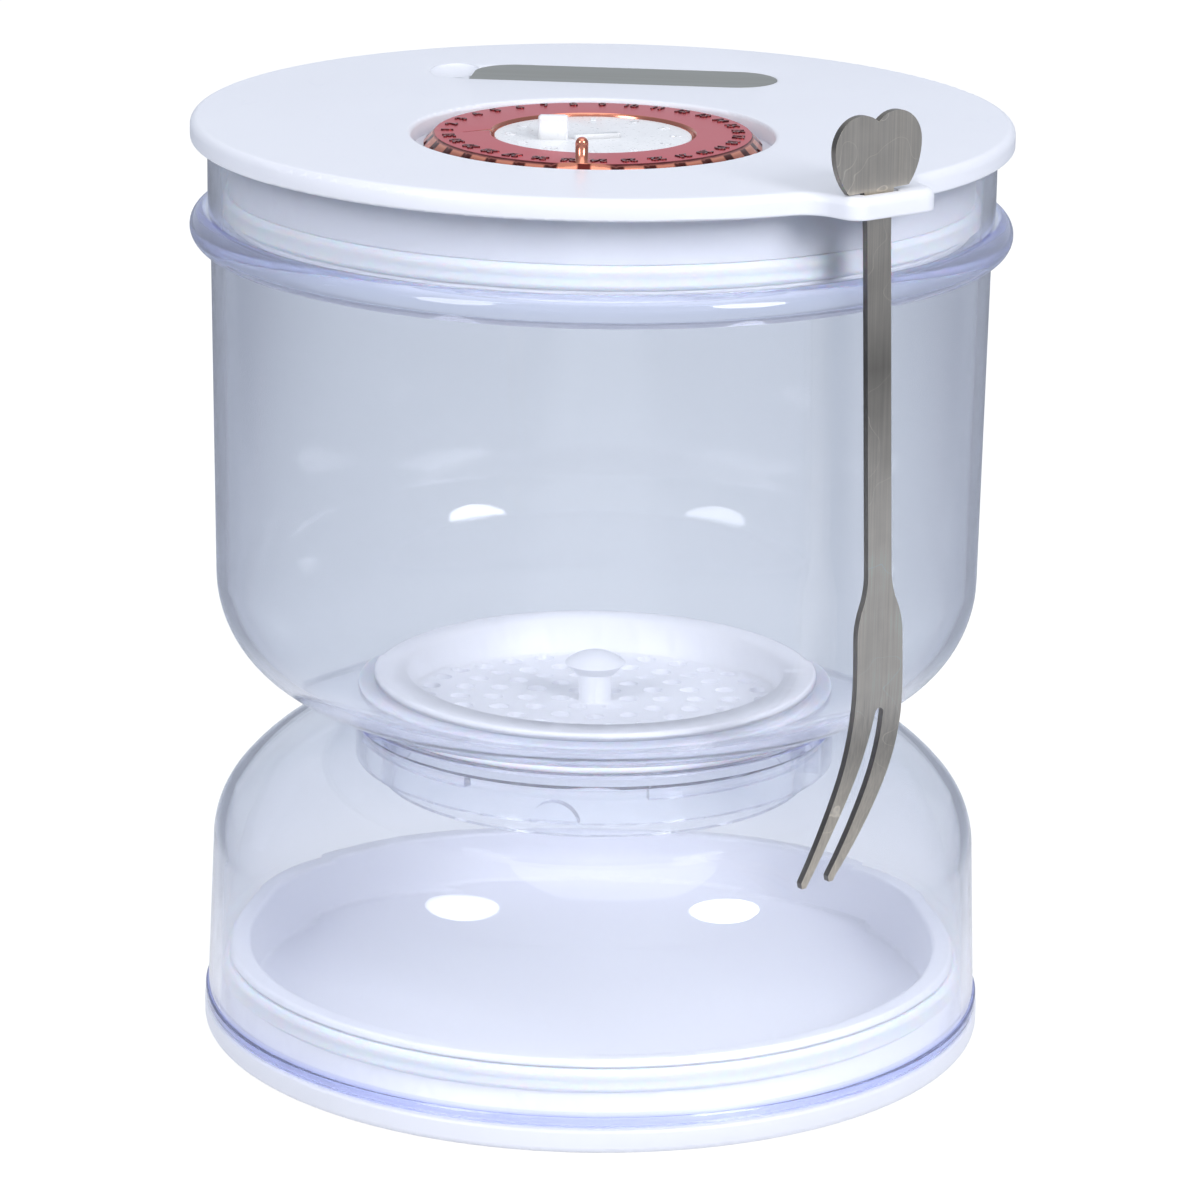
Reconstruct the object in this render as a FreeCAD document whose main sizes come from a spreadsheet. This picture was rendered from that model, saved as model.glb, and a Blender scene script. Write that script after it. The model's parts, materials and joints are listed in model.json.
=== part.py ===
import FreeCAD, Part
import math
import os

import Sketcher

# A two-chamber pickle keeper. An upper and a lower chamber of clear plastic meet at a narrow
# waist, with a strainer between them, and each has a white lid with a plug and a sealing ring.
# The top lid carries a date dial, a steel plate and a tab where a flat steel fork hangs.
# The origin is at the middle of the underside, +Z is up and the front of the jar faces -Y.

DOC = FreeCAD.newDocument("FlipKeeper")
SHEET = DOC.addObject("Spreadsheet::Sheet", "Sizes")


class Size:
    """A length, an angle or a count: its value, and its formula in the names of the sheet."""

    def __init__(self, value, formula):
        self.value = value
        self.formula = formula

    def join(self, sign, other, value):
        return Size(value, f"({self.formula} {sign} {as_size(other).formula})")

    def __add__(self, other):
        return self.join("+", other, self.value + as_size(other).value)

    def __sub__(self, other):
        return self.join("-", other, self.value - as_size(other).value)

    def __mul__(self, other):
        return self.join("*", other, self.value * as_size(other).value)

    def __truediv__(self, other):
        return self.join("/", other, self.value / as_size(other).value)

    def __neg__(self):
        return Size(-self.value, f"(0 - {self.formula})")


def as_size(number):
    return number if isinstance(number, Size) else Size(float(number), repr(float(number)))


def larger(one, other):
    return Size(max(one.value, other.value), f"max({one.formula}; {other.formula})")


def root(number):
    return Size(math.sqrt(number.value), f"sqrt({number.formula})")


def cosine(angle):
    return Size(math.cos(math.radians(angle.value)), f"cos({angle.formula})")


def sine(angle):
    return Size(math.sin(math.radians(angle.value)), f"sin({angle.formula})")


ROW = [0]

# How near two places have to be to count as one, in millimetres
TOUCH = 0.01


def size(name, value):
    """Writes a driving size into the sheet and gives it back as a Size."""
    ROW[0] += 1
    SHEET.set(f"A{ROW[0]}", name)
    SHEET.set(f"B{ROW[0]}", str(value))
    SHEET.setAlias(f"B{ROW[0]}", name)
    return Size(float(value), f"Sizes.{name}")


# The whole jar and its clearances
jar_height = size("jar_height", 168)
jar_radius = size("jar_radius", 69.4)
wall = size("wall", 2.0)
seat_gap = size("seat_gap", 0.3)
slide_gap = size("slide_gap", 0.3)
running_gap = size("running_gap", 0.08)

# Base lid
base_lip = size("base_lip", 0.15)
base_thickness = size("base_thickness", 4.4)
base_bottom_round = size("base_bottom_round", 1.4)
base_top_round = size("base_top_round", 0.6)
base_plug_height = size("base_plug_height", 11.4)

# Plugs of both lids, and the sealing rings in their grooves
plug_wall = size("plug_wall", 3.8)
plug_gap = size("plug_gap", 1.6)
plug_round = size("plug_round", 0.9)
groove_depth = size("groove_depth", 1.5)
groove_height = size("groove_height", 4.4)
groove_from_end = size("groove_from_end", 1.4)
gasket_gap = size("gasket_gap", 0.12)
gasket_web = size("gasket_web", 1.7)

# Lower chamber
foot_spread = size("foot_spread", 1.15)
lower_shoulder_height = size("lower_shoulder_height", 34.4)
lower_side_curve = size("lower_side_curve", 16.7)
lower_crown_curve = size("lower_crown_curve", 36.7)
lower_dome_height = size("lower_dome_height", 24.0)
foot_bead_proud = size("foot_bead_proud", 0.5)
foot_bead_height = size("foot_bead_height", 2.0)
mouth_gap = size("mouth_gap", 0.6)
mouth_wall = size("mouth_wall", 2.8)
mouth_lift = size("mouth_lift", 1.2)
collar_length = size("collar_length", 9.6)
ramp_height = size("ramp_height", 1.8)
ramp_span = size("ramp_span", 44)
ramp_gap = size("ramp_gap", 0.6)

# Waist: the spout of the upper chamber stands in the mouth of the lower one
waist_gap = size("waist_gap", 1.8)
seal_inner_gap = size("seal_inner_gap", 0.4)
spout_radius = size("spout_radius", 38.6)
spout_wall = size("spout_wall", 2.2)
spout_length = size("spout_length", 14.9)
lug_count = size("lug_count", 4)
lug_width = size("lug_width", 8.6)
lug_height = size("lug_height", 3.4)
lug_reach = size("lug_reach", 2.0)
lug_drop = size("lug_drop", 10.0)
lug_turn = size("lug_turn", -9.6)

# Upper chamber
upper_side_curve = size("upper_side_curve", 21.5)
upper_floor_curve = size("upper_floor_curve", 38.8)
upper_bowl_depth = size("upper_bowl_depth", 23.9)
upper_inset = size("upper_inset", 0.2)
upper_lean = size("upper_lean", 0.6)
flange_lip = size("flange_lip", 0.3)
flange_height = size("flange_height", 5.8)
flange_drop = size("flange_drop", 16.5)
neck_outset = size("neck_outset", 0.3)
rim_round = size("rim_round", 0.6)

# Strainer
strainer_lap = size("strainer_lap", 1.8)
strainer_wall = size("strainer_wall", 1.6)
strainer_depth = size("strainer_depth", 6.3)
hole_radius = size("hole_radius", 1.8)
hole_pitch = size("hole_pitch", 6.2)
hole_step = size("hole_step", 6)
hole_land = size("hole_land", 1.0)
knob_radius = size("knob_radius", 5.5)
knob_neck = size("knob_neck", 3.0)
knob_height = size("knob_height", 10.5)
knob_crown = size("knob_crown", 2.2)

# Top lid
lid_overhang = size("lid_overhang", 3.0)
lid_thickness = size("lid_thickness", 3.8)
lid_top_round = size("lid_top_round", 1.5)
lid_under_round = size("lid_under_round", 0.5)
lid_plug_depth = size("lid_plug_depth", 14.2)
lid_turn = size("lid_turn", -6)

# Date dial in the top lid
dial_offset = size("dial_offset", 16.1)
dial_well_gap = size("dial_well_gap", 2.2)
dial_well_depth = size("dial_well_depth", 3.0)
dial_well_round = size("dial_well_round", 0.8)
dial_well_wall = size("dial_well_wall", 2.4)
dial_floor = size("dial_floor", 2.2)
ring_radius = size("ring_radius", 29.4)
ring_bore = size("ring_bore", 17.5)
ring_lip = size("ring_lip", 2.1)
ring_bevel = size("ring_bevel", 1.9)
ring_bore_bevel = size("ring_bore_bevel", 0.5)
ring_flutes = size("ring_flutes", 31)
flute_radius = size("flute_radius", 0.9)
flute_outset = size("flute_outset", 0.3)
pin_radius = size("pin_radius", 1.1)
pin_height = size("pin_height", 4.3)
pin_round = size("pin_round", 1.0)
pin_inset = size("pin_inset", 0.3)
pin_turn = size("pin_turn", -4)
index_inset = size("index_inset", 2.8)
index_length = size("index_length", 5.2)
index_width = size("index_width", 0.4)
index_depth = size("index_depth", 0.25)
index_turn = size("index_turn", 29)
disc_gap = size("disc_gap", 0.4)
disc_drop = size("disc_drop", 0.5)
disc_thickness = size("disc_thickness", 1.1)
stem_radius = size("stem_radius", 8.0)
boss_radius = size("boss_radius", 5.0)
boss_height = size("boss_height", 1.6)
boss_gap = size("boss_gap", 0.2)
grip_width = size("grip_width", 5.2)
grip_depth = size("grip_depth", 2.2)
grip_height = size("grip_height", 4.2)
grip_round = size("grip_round", 0.65)
grip_x = size("grip_x", -6.9)
grip_y = size("grip_y", -3.7)
pointer_length = size("pointer_length", 8.4)
pointer_width = size("pointer_width", 1.5)
pointer_height = size("pointer_height", 0.8)
pointer_x = size("pointer_x", 0.8)
pointer_y = size("pointer_y", -2.6)
pointer_turn = size("pointer_turn", 22)

# Steel plate in the top lid, and the finger dish at its end
plate_length = size("plate_length", 56)
plate_width = size("plate_width", 16)
plate_thickness = size("plate_thickness", 0.8)
plate_gap = size("plate_gap", 0.15)
plate_offset = size("plate_offset", 38.3)
dish_length = size("dish_length", 9.2)
dish_width = size("dish_width", 14.6)
dish_depth = size("dish_depth", 1.1)
dish_overlap = size("dish_overlap", 1.0)

# Tab on the rim of the top lid, with the slot where the fork hangs
tab_turn = size("tab_turn", 43)
tab_length = size("tab_length", 8.5)
tab_base_width = size("tab_base_width", 23)
tab_tip_width = size("tab_tip_width", 17.6)
tab_tip_round = size("tab_tip_round", 3.4)
tab_base_round = size("tab_base_round", 6.0)
slot_length = size("slot_length", 10.6)
slot_width = size("slot_width", 3.0)
slot_inset = size("slot_inset", 3.7)
slot_shift = size("slot_shift", 1.7)

# Fork
fork_thickness = size("fork_thickness", 1.2)
fork_lean = size("fork_lean", 2.3)
fork_rest_gap = size("fork_rest_gap", 0.1)
head_width = size("head_width", 18.4)
head_height = size("head_height", 12.9)
lobe_radius = size("lobe_radius", 5.5)
shoulder_width = size("shoulder_width", 12.8)
throat_width = size("throat_width", 6.4)
throat_length = size("throat_length", 7.5)
shank_width = size("shank_width", 5.1)
shank_length = size("shank_length", 66)
blade_width = size("blade_width", 9.9)
flare_length = size("flare_length", 11.5)
crease_drop = size("crease_drop", 84)
tine_bend = size("tine_bend", 80)
tine_angle = size("tine_angle", 15)
fork_length = size("fork_length", 122.5)
left_tine_start = size("left_tine_start", 79)
right_tine_start = size("right_tine_start", 88)
slit_start = size("slit_start", 91)
slit_width = size("slit_width", 1.8)
slit_left_curve = size("slit_left_curve", 175)
slit_right_curve = size("slit_right_curve", 95)
tine_spread = size("tine_spread", 3.85)
tine_tip = size("tine_tip", 1.8)
tine_point = size("tine_point", 1.2)
tine_bevel = size("tine_bevel", 0.45)
tine_sweep = size("tine_sweep", 7.9)

# Radii that follow from the sizes above
lower_shoulder_radius = jar_radius
lower_foot_radius = lower_shoulder_radius + foot_spread
base_radius = lower_foot_radius + foot_bead_proud + base_lip
upper_top_radius = jar_radius - upper_inset
upper_wall_radius = upper_top_radius - upper_lean
neck_radius = jar_radius + neck_outset
flange_radius = neck_radius + flange_height / 2 + flange_lip
mouth_radius = spout_radius + lug_reach + mouth_gap
strainer_rim_radius = spout_radius + strainer_lap
lid_radius = neck_radius + lid_overhang
tab_reach = lid_radius + tab_length
slot_middle = tab_reach - slot_inset
dial_well_radius = ring_radius + dial_well_gap
pin_ring_radius = ring_radius - ring_bevel - pin_radius - pin_inset

# Heights that follow from the sizes above
base_top = base_thickness
base_plug_top = base_top + base_plug_height
lower_bottom = base_top + seat_gap
crown_top = lower_shoulder_height + lower_dome_height
mouth_top = crown_top + mouth_lift
floor_under = mouth_top + waist_gap
floor_top = floor_under + wall
spout_bottom = floor_under - spout_length
bowl_start = floor_under + upper_bowl_depth
lid_under = jar_height - lid_thickness
rim_top = lid_under - seat_gap
lid_plug_end = lid_under - lid_plug_depth
flange_top = jar_height - flange_drop
flange_under = flange_top - flange_height
neck_inside = neck_radius - wall
lid_plug_radius = neck_inside - plug_gap
well_floor = jar_height - dial_well_depth
disc_top = jar_height - disc_drop
spout_inside = spout_radius - spout_wall


def lower_inside_at(height):
    """The inside radius of the lower chamber's straight wall, which leans in as it rises."""
    lean = (lower_foot_radius - lower_shoulder_radius) / (lower_shoulder_height - lower_bottom)
    return lower_foot_radius - wall - (height - lower_bottom) * lean


base_plug_radius = lower_inside_at(base_plug_top) - plug_gap


def plane_of(body, role):
    """One of the body's own origin planes or axes, by its role."""
    for feature in body.Origin.OriginFeatures:
        if feature.Role == role:
            return feature
    raise ValueError(role)


def new_body(name):
    body = DOC.addObject("PartDesign::Body", name)
    body.Label = name
    return body


def new_sketch(body, name, role, height=None):
    """A sketch on one of the body's origin planes, lifted by a height where one is given."""
    sketch = body.newObject("Sketcher::SketchObject", name)
    sketch.AttachmentSupport = (plane_of(body, role), [""])
    sketch.MapMode = "FlatFace"
    if height is not None:
        sketch.AttachmentOffset = FreeCAD.Placement(
            FreeCAD.Vector(0, 0, height.value), FreeCAD.Rotation())
        sketch.setExpression("AttachmentOffset.Base.z", height.formula)
    return sketch


def tie(sketch, kind, geometry, point, value):
    """Ties a point of the sketch to a distance from the origin along one axis."""
    axis = -2 if kind == "DistanceX" else -1
    if value.formula in ("0.0", "-0.0"):
        sketch.addConstraint(Sketcher.Constraint("PointOnObject", geometry, point, axis))
        return
    index = sketch.addConstraint(Sketcher.Constraint(kind, geometry, point, value.value))
    sketch.setExpression(f"Constraints[{index}]", value.formula)


def arc_between(start, end, radius, left):
    """The short arc from start to end. It turns to the left of its way, or else to the right."""
    half_x = (end[0] - start[0]) / 2
    half_y = (end[1] - start[1]) / 2
    half = math.hypot(half_x, half_y)
    rise = math.sqrt(max(radius * radius - half * half, 0.0))
    side = 1 if left else -1
    centre_x = start[0] + half_x - side * rise * half_y / half
    centre_y = start[1] + half_y + side * rise * half_x / half
    first, last = (start, end) if left else (end, start)
    from_angle = math.atan2(first[1] - centre_y, first[0] - centre_x)
    to_angle = math.atan2(last[1] - centre_y, last[0] - centre_x)
    if to_angle <= from_angle:
        to_angle += 2 * math.pi
    circle = Part.Circle(FreeCAD.Vector(centre_x, centre_y, 0), FreeCAD.Vector(0, 0, 1), radius)
    return Part.ArcOfCircle(circle, from_angle, to_angle)


def draw_outline(sketch, corners):
    """Draws a closed outline through the corners, each tied to the sheet.

    A corner is (across, up). One that ends a round stretch is (across, up, radius, turn),
    where turn is "left" or "right"."""
    points = [(as_size(corner[0]), as_size(corner[1])) for corner in corners]
    starts = []
    ends = []
    for number, corner in enumerate(corners):
        before = points[number - 1]
        here = points[number]
        start = (before[0].value, before[1].value)
        end = (here[0].value, here[1].value)
        if len(corner) == 2:
            line = Part.LineSegment(FreeCAD.Vector(*start, 0), FreeCAD.Vector(*end, 0))
            index = sketch.addGeometry(line, False)
            starts.append((index, 1))
            ends.append((index, 2))
            continue
        radius = as_size(corner[2])
        left = corner[3] == "left"
        index = sketch.addGeometry(arc_between(start, end, radius.value, left), False)
        starts.append((index, 1 if left else 2))
        ends.append((index, 2 if left else 1))
        bound = sketch.addConstraint(Sketcher.Constraint("Radius", index, radius.value))
        sketch.setExpression(f"Constraints[{bound}]", radius.formula)
    for number in range(len(corners)):
        following = starts[(number + 1) % len(corners)]
        sketch.addConstraint(Sketcher.Constraint("Coincident", *ends[number], *following))
        tie(sketch, "DistanceX", *ends[number], points[number][0])
        tie(sketch, "DistanceY", *ends[number], points[number][1])


def draw_circle(sketch, across, up, radius):
    across = as_size(across)
    up = as_size(up)
    centre = FreeCAD.Vector(across.value, up.value, 0)
    circle = Part.Circle(centre, FreeCAD.Vector(0, 0, 1), radius.value)
    index = sketch.addGeometry(circle, False)
    bound = sketch.addConstraint(Sketcher.Constraint("Radius", index, radius.value))
    sketch.setExpression(f"Constraints[{bound}]", radius.formula)
    tie(sketch, "DistanceX", index, 3, across)
    tie(sketch, "DistanceY", index, 3, up)


def draw_plate(sketch, inset):
    """The outline of the steel plate: round ends, but for one square corner in front."""
    half = plate_width / 2 - inset
    end = plate_length / 2 - inset
    straight = end - half
    draw_outline(sketch, [
        (-end, plate_offset - half),
        (straight, plate_offset - half),
        (end, plate_offset, half, "left"),
        (straight, plate_offset + half, half, "left"),
        (-straight, plate_offset + half),
        (-end, plate_offset, half, "left")])


def turn_profile(body, name, corners, kind="PartDesign::Revolution"):
    """Turns an outline of (radius, height) corners about the body's Z axis."""
    sketch = new_sketch(body, name + "_profile", "XZ_Plane")
    draw_outline(sketch, corners)
    feature = body.newObject(kind, name)
    feature.Profile = sketch
    feature.ReferenceAxis = (sketch, ["V_Axis"])
    feature.Angle = 360
    sketch.Visibility = False
    DOC.recompute()
    return feature


def raise_shape(body, name, sketch, length, kind="PartDesign::Pad", reverse=False):
    """Pads or pockets a sketch by a length, or through everything where no length is given."""
    feature = body.newObject(kind, name)
    feature.Profile = sketch
    if length is None:
        feature.Type = "ThroughAll"
    else:
        feature.Length = length.value
        feature.setExpression("Length", length.formula)
    feature.Reversed = reverse
    DOC.recompute()
    return feature


def repeat_round(body, name, feature, count):
    """Repeats a feature at equal steps about the body's Z axis."""
    pattern = body.newObject("PartDesign::PolarPattern", name)
    pattern.Originals = [feature]
    pattern.Axis = (plane_of(body, "Z_Axis"), [""])
    pattern.Angle = 360
    pattern.Occurrences = int(round(count.value))
    pattern.setExpression("Occurrences", count.formula)
    body.Tip = pattern
    DOC.recompute()
    return pattern


def round_edges(body, name, base, radius, chosen):
    """Fillets the edges of the base feature that the chosen test picks."""
    names = []
    for number, edge in enumerate(base.Shape.Edges, start=1):
        if chosen(edge):
            names.append(f"Edge{number}")
    fillet = body.newObject("PartDesign::Fillet", name)
    fillet.Base = (base, names)
    fillet.Radius = radius.value
    fillet.setExpression("Radius", radius.formula)
    DOC.recompute()
    return fillet


def place(body, turn):
    """Turns a body about the jar's axis."""
    rotation = FreeCAD.Rotation(FreeCAD.Vector(0, 0, 1), turn.value)
    body.Placement = FreeCAD.Placement(FreeCAD.Vector(0, 0, 0), rotation)
    body.setExpression("Placement.Rotation.Angle", turn.formula)


def place_on_dial(body):
    """Moves a body to the middle of the dial, which lies off the jar's axis."""
    x = dial_offset * sine(lid_turn)
    y = -(dial_offset * cosine(lid_turn))
    body.Placement = FreeCAD.Placement(FreeCAD.Vector(x.value, y.value, 0), FreeCAD.Rotation())
    body.setExpression("Placement.Base.x", x.formula)
    body.setExpression("Placement.Base.y", y.formula)


def two_arcs(wall_radius, side_curve, end_curve, rise):
    """A wall that bends over in two tangent arcs, up to a level stretch.

    Gives the cosine and sine of the angle where the arcs meet, and the radius where the
    second arc is level."""
    low = (end_curve - rise) / (end_curve - side_curve)
    high = root(as_size(1) - low * low)
    level = wall_radius - side_curve - (end_curve - side_curve) * high
    return high, low, level


def tangent_radius(across, along):
    """The radius of an arc that starts straight and moves across while it runs along."""
    return (across * across + along * along) / (across * 2)


def gasket_profile(inside, outside, low):
    """A silicone ring with two soft lips that face the wall."""
    high = low + groove_height - gasket_gap * 2
    step = (high - low) / 4
    web = inside + gasket_web
    return [
        (inside, low), (web, low), (outside, low + step), (web, low + step * 2),
        (outside, low + step * 3), (web, high), (inside, high)]


def make_base_lid():
    """The white lid that the jar stands on: a flat slab with a plug ring above it."""
    body = new_body("base_lid")
    outside = base_plug_radius
    inside = outside - plug_wall
    groove_top = base_plug_top - groove_from_end
    groove_low = groove_top - groove_height
    turned = turn_profile(body, "BaseLidTurned", [
        (0, 0),
        (base_radius - base_bottom_round, 0),
        (base_radius, base_bottom_round, base_bottom_round, "left"),
        (base_radius, base_top - base_top_round),
        (base_radius - base_top_round, base_top, base_top_round, "left"),
        (outside, base_top),
        (outside, groove_low),
        (outside - groove_depth, groove_low),
        (outside - groove_depth, groove_top),
        (outside, groove_top),
        (outside, base_plug_top - plug_round),
        (outside - plug_round, base_plug_top, plug_round, "left"),
        (inside + plug_round, base_plug_top),
        (inside, base_plug_top - plug_round, plug_round, "left"),
        (inside, base_top + plug_round),
        (inside - plug_round, base_top, plug_round, "right"),
        (0, base_top)])
    body.Tip = turned
    return body


def make_base_gasket():
    body = new_body("base_gasket")
    inside = base_plug_radius - groove_depth + gasket_gap
    outside = lower_inside_at(base_plug_top) - slide_gap
    low = base_plug_top - groove_from_end - groove_height + gasket_gap
    body.Tip = turn_profile(body, "BaseGasketTurned", gasket_profile(inside, outside, low))
    return body


def make_lower_chamber():
    """The clear lower chamber: an open foot, a dome, and a mouth with a collar inside."""
    body = new_body("lower_chamber")
    high, low, level = two_arcs(
        lower_shoulder_radius, lower_side_curve, lower_crown_curve, lower_dome_height)
    side_centre = lower_shoulder_radius - lower_side_curve
    crown_centre = crown_top - lower_crown_curve
    mouth_outside = mouth_radius + mouth_wall
    collar_outside = mouth_radius + wall
    collar_bottom = mouth_top - collar_length
    outer_reach = mouth_outside - level
    inner_reach = collar_outside - level
    inner_crown = lower_crown_curve - wall
    inner_side = lower_side_curve - wall
    outer_meet = crown_centre + root(
        lower_crown_curve * lower_crown_curve - outer_reach * outer_reach)
    inner_meet = crown_centre + root(inner_crown * inner_crown - inner_reach * inner_reach)
    bead_radius = lower_foot_radius + foot_bead_proud
    bead_top = lower_bottom + foot_bead_height
    turn_profile(body, "LowerWallTurned", [
        (bead_radius - foot_bead_proud, lower_bottom),
        (bead_radius, lower_bottom + foot_bead_proud, foot_bead_proud, "left"),
        (bead_radius, bead_top - foot_bead_proud),
        (lower_foot_radius, bead_top, foot_bead_proud, "left"),
        (lower_shoulder_radius, lower_shoulder_height),
        (side_centre + lower_side_curve * high, lower_shoulder_height + lower_side_curve * low,
         lower_side_curve, "left"),
        (mouth_outside, outer_meet, lower_crown_curve, "left"),
        (mouth_outside, mouth_top - rim_round),
        (mouth_outside - rim_round, mouth_top, rim_round, "left"),
        (mouth_radius + rim_round, mouth_top),
        (mouth_radius, mouth_top - rim_round, rim_round, "left"),
        (mouth_radius, collar_bottom),
        (collar_outside, collar_bottom),
        (collar_outside, inner_meet),
        (side_centre + inner_side * high, lower_shoulder_height + inner_side * low,
         inner_crown, "right"),
        (lower_shoulder_radius - wall, lower_shoulder_height, inner_side, "right"),
        (lower_foot_radius - wall, lower_bottom)])
    ramp_inside = spout_radius + ramp_gap
    ramp_top = floor_under - lug_drop + lug_height / 2 + ramp_gap + ramp_height
    sketch = new_sketch(body, "RampOutline", "XY_Plane", ramp_top)
    half = ramp_span / 2
    outer = mouth_radius + wall / 2
    draw_outline(sketch, [
        (outer * cosine(half), -(outer * sine(half))),
        (outer * cosine(half), outer * sine(half), outer, "left"),
        (ramp_inside * cosine(half), ramp_inside * sine(half)),
        (ramp_inside * cosine(half), -(ramp_inside * sine(half)), ramp_inside, "right")])
    ramp = raise_shape(body, "Ramp", sketch, ramp_height, reverse=True)
    body.Tip = repeat_round(body, "Ramps", ramp, lug_count)
    place(body, lug_turn + as_size(180) / lug_count)
    return body


def make_waist_seal():
    body = new_body("waist_seal")
    inside = spout_radius + seal_inner_gap
    outside = mouth_radius + mouth_wall - seat_gap
    low = mouth_top + seat_gap
    middle = (low + floor_under) / 2
    half = floor_under - middle
    body.Tip = turn_profile(body, "WaistSealTurned", [
        (inside, low),
        (outside - half, low),
        (outside, middle, half, "left"),
        (outside - half, floor_under, half, "left"),
        (inside, floor_under)])
    return body


def floor_at(radius):
    """The height of the upper chamber's floor, inside, at a radius."""
    high, low, level = two_arcs(
        upper_wall_radius, upper_side_curve, upper_floor_curve, upper_bowl_depth)
    inner_curve = upper_floor_curve - wall
    reach = radius - level
    return floor_under + upper_floor_curve - root(inner_curve * inner_curve - reach * reach)


def make_upper_chamber():
    """The clear upper chamber: a straight neck and flange, a bowl, and a spout below it."""
    body = new_body("upper_chamber")
    high, low, level = two_arcs(
        upper_wall_radius, upper_side_curve, upper_floor_curve, upper_bowl_depth)
    side_centre = upper_wall_radius - upper_side_curve
    floor_centre = floor_under + upper_floor_curve
    reach = spout_radius - level
    inner_floor = upper_floor_curve - wall
    inner_side = upper_side_curve - wall
    outer_meet = floor_centre - root(upper_floor_curve * upper_floor_curve - reach * reach)
    inner_meet = floor_at(spout_radius)
    bead = flange_height / 2
    turn_profile(body, "UpperWallTurned", [
        (spout_radius, spout_bottom),
        (spout_radius, outer_meet),
        (side_centre + upper_side_curve * high, bowl_start - upper_side_curve * low,
         upper_floor_curve, "left"),
        (upper_wall_radius, bowl_start, upper_side_curve, "left"),
        (upper_top_radius, flange_under),
        (flange_radius - bead, flange_under),
        (flange_radius, flange_under + bead, bead, "left"),
        (flange_radius - bead, flange_top, bead, "left"),
        (neck_radius, flange_top),
        (neck_radius, rim_top - rim_round),
        (neck_radius - rim_round, rim_top, rim_round, "left"),
        (neck_inside + rim_round, rim_top),
        (neck_inside, rim_top - rim_round, rim_round, "left"),
        (neck_inside, flange_top),
        (upper_top_radius - wall, flange_under),
        (upper_wall_radius - wall, bowl_start),
        (side_centre + inner_side * high, bowl_start - inner_side * low, inner_side, "right"),
        (spout_radius, inner_meet, inner_floor, "right"),
        (spout_inside + rim_round, inner_meet),
        (spout_inside, inner_meet - rim_round, rim_round, "left"),
        (spout_inside, spout_bottom)])
    lug_middle = floor_under - lug_drop
    sketch = new_sketch(body, "LugOutline", "XZ_Plane")
    half = lug_width / 2
    rise = lug_height / 2
    bow = (half * half + rise * rise * 4) / (rise * 4)
    draw_outline(sketch, [
        (half, lug_middle - rise),
        (0, lug_middle + rise, bow, "left"),
        (-half, lug_middle - rise, bow, "left")])
    lug = raise_shape(body, "Lug", sketch, spout_radius + lug_reach)
    trimmed = new_sketch(body, "LugTrimOutline", "XY_Plane", lug_middle + lug_height)
    draw_circle(trimmed, 0, 0, spout_inside)
    cleared = raise_shape(body, "SpoutCleared", trimmed, lug_height * 2, "PartDesign::Pocket")
    pattern = body.newObject("PartDesign::MultiTransform", "Lugs")
    pattern.Originals = [lug, cleared]
    step = body.newObject("PartDesign::PolarPattern", "LugStep")
    step.Axis = (plane_of(body, "Z_Axis"), [""])
    step.Angle = 360
    step.Occurrences = int(round(lug_count.value))
    step.setExpression("Occurrences", lug_count.formula)
    pattern.Transformations = [step]
    body.Tip = pattern
    DOC.recompute()
    place(body, lug_turn)
    return body


def make_strainer():
    """A shallow perforated cup that hangs in the spout by its rim, with a low lifting knob."""
    body = new_body("strainer")
    rim_low = larger(floor_at(spout_radius), floor_at(strainer_rim_radius)) + seat_gap
    rim_high = rim_low + strainer_wall
    cup_outside = spout_inside - slide_gap
    cup_inside = cup_outside - strainer_wall
    plate_low = rim_low - strainer_depth
    plate_high = plate_low + strainer_wall
    knob_top = plate_high + knob_height
    knob_side = knob_top - knob_crown
    knob_under = knob_side - (knob_radius - knob_neck)
    turn_profile(body, "StrainerTurned", [
        (0, plate_low),
        (cup_outside - rim_round, plate_low),
        (cup_outside, plate_low + rim_round, rim_round, "left"),
        (cup_outside, rim_low),
        (strainer_rim_radius, rim_low),
        (strainer_rim_radius, rim_high - rim_round),
        (strainer_rim_radius - rim_round, rim_high, rim_round, "left"),
        (cup_inside, rim_high),
        (cup_inside, plate_high),
        (knob_neck, plate_high),
        (knob_neck, knob_under),
        (knob_radius, knob_side),
        (0, knob_top, tangent_radius(knob_crown, knob_radius), "left")])
    room = cup_inside - hole_radius - hole_land
    for ring in range(1, int(room.value / hole_pitch.value) + 1):
        sketch = new_sketch(body, f"HoleOutline{ring}", "XY_Plane", plate_high)
        draw_circle(sketch, hole_pitch * ring, 0, hole_radius)
        hole = raise_shape(body, f"Hole{ring}", sketch, strainer_wall * 2, "PartDesign::Pocket")
        body.Tip = repeat_round(body, f"HoleRing{ring}", hole, hole_step * ring)
    return body


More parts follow.
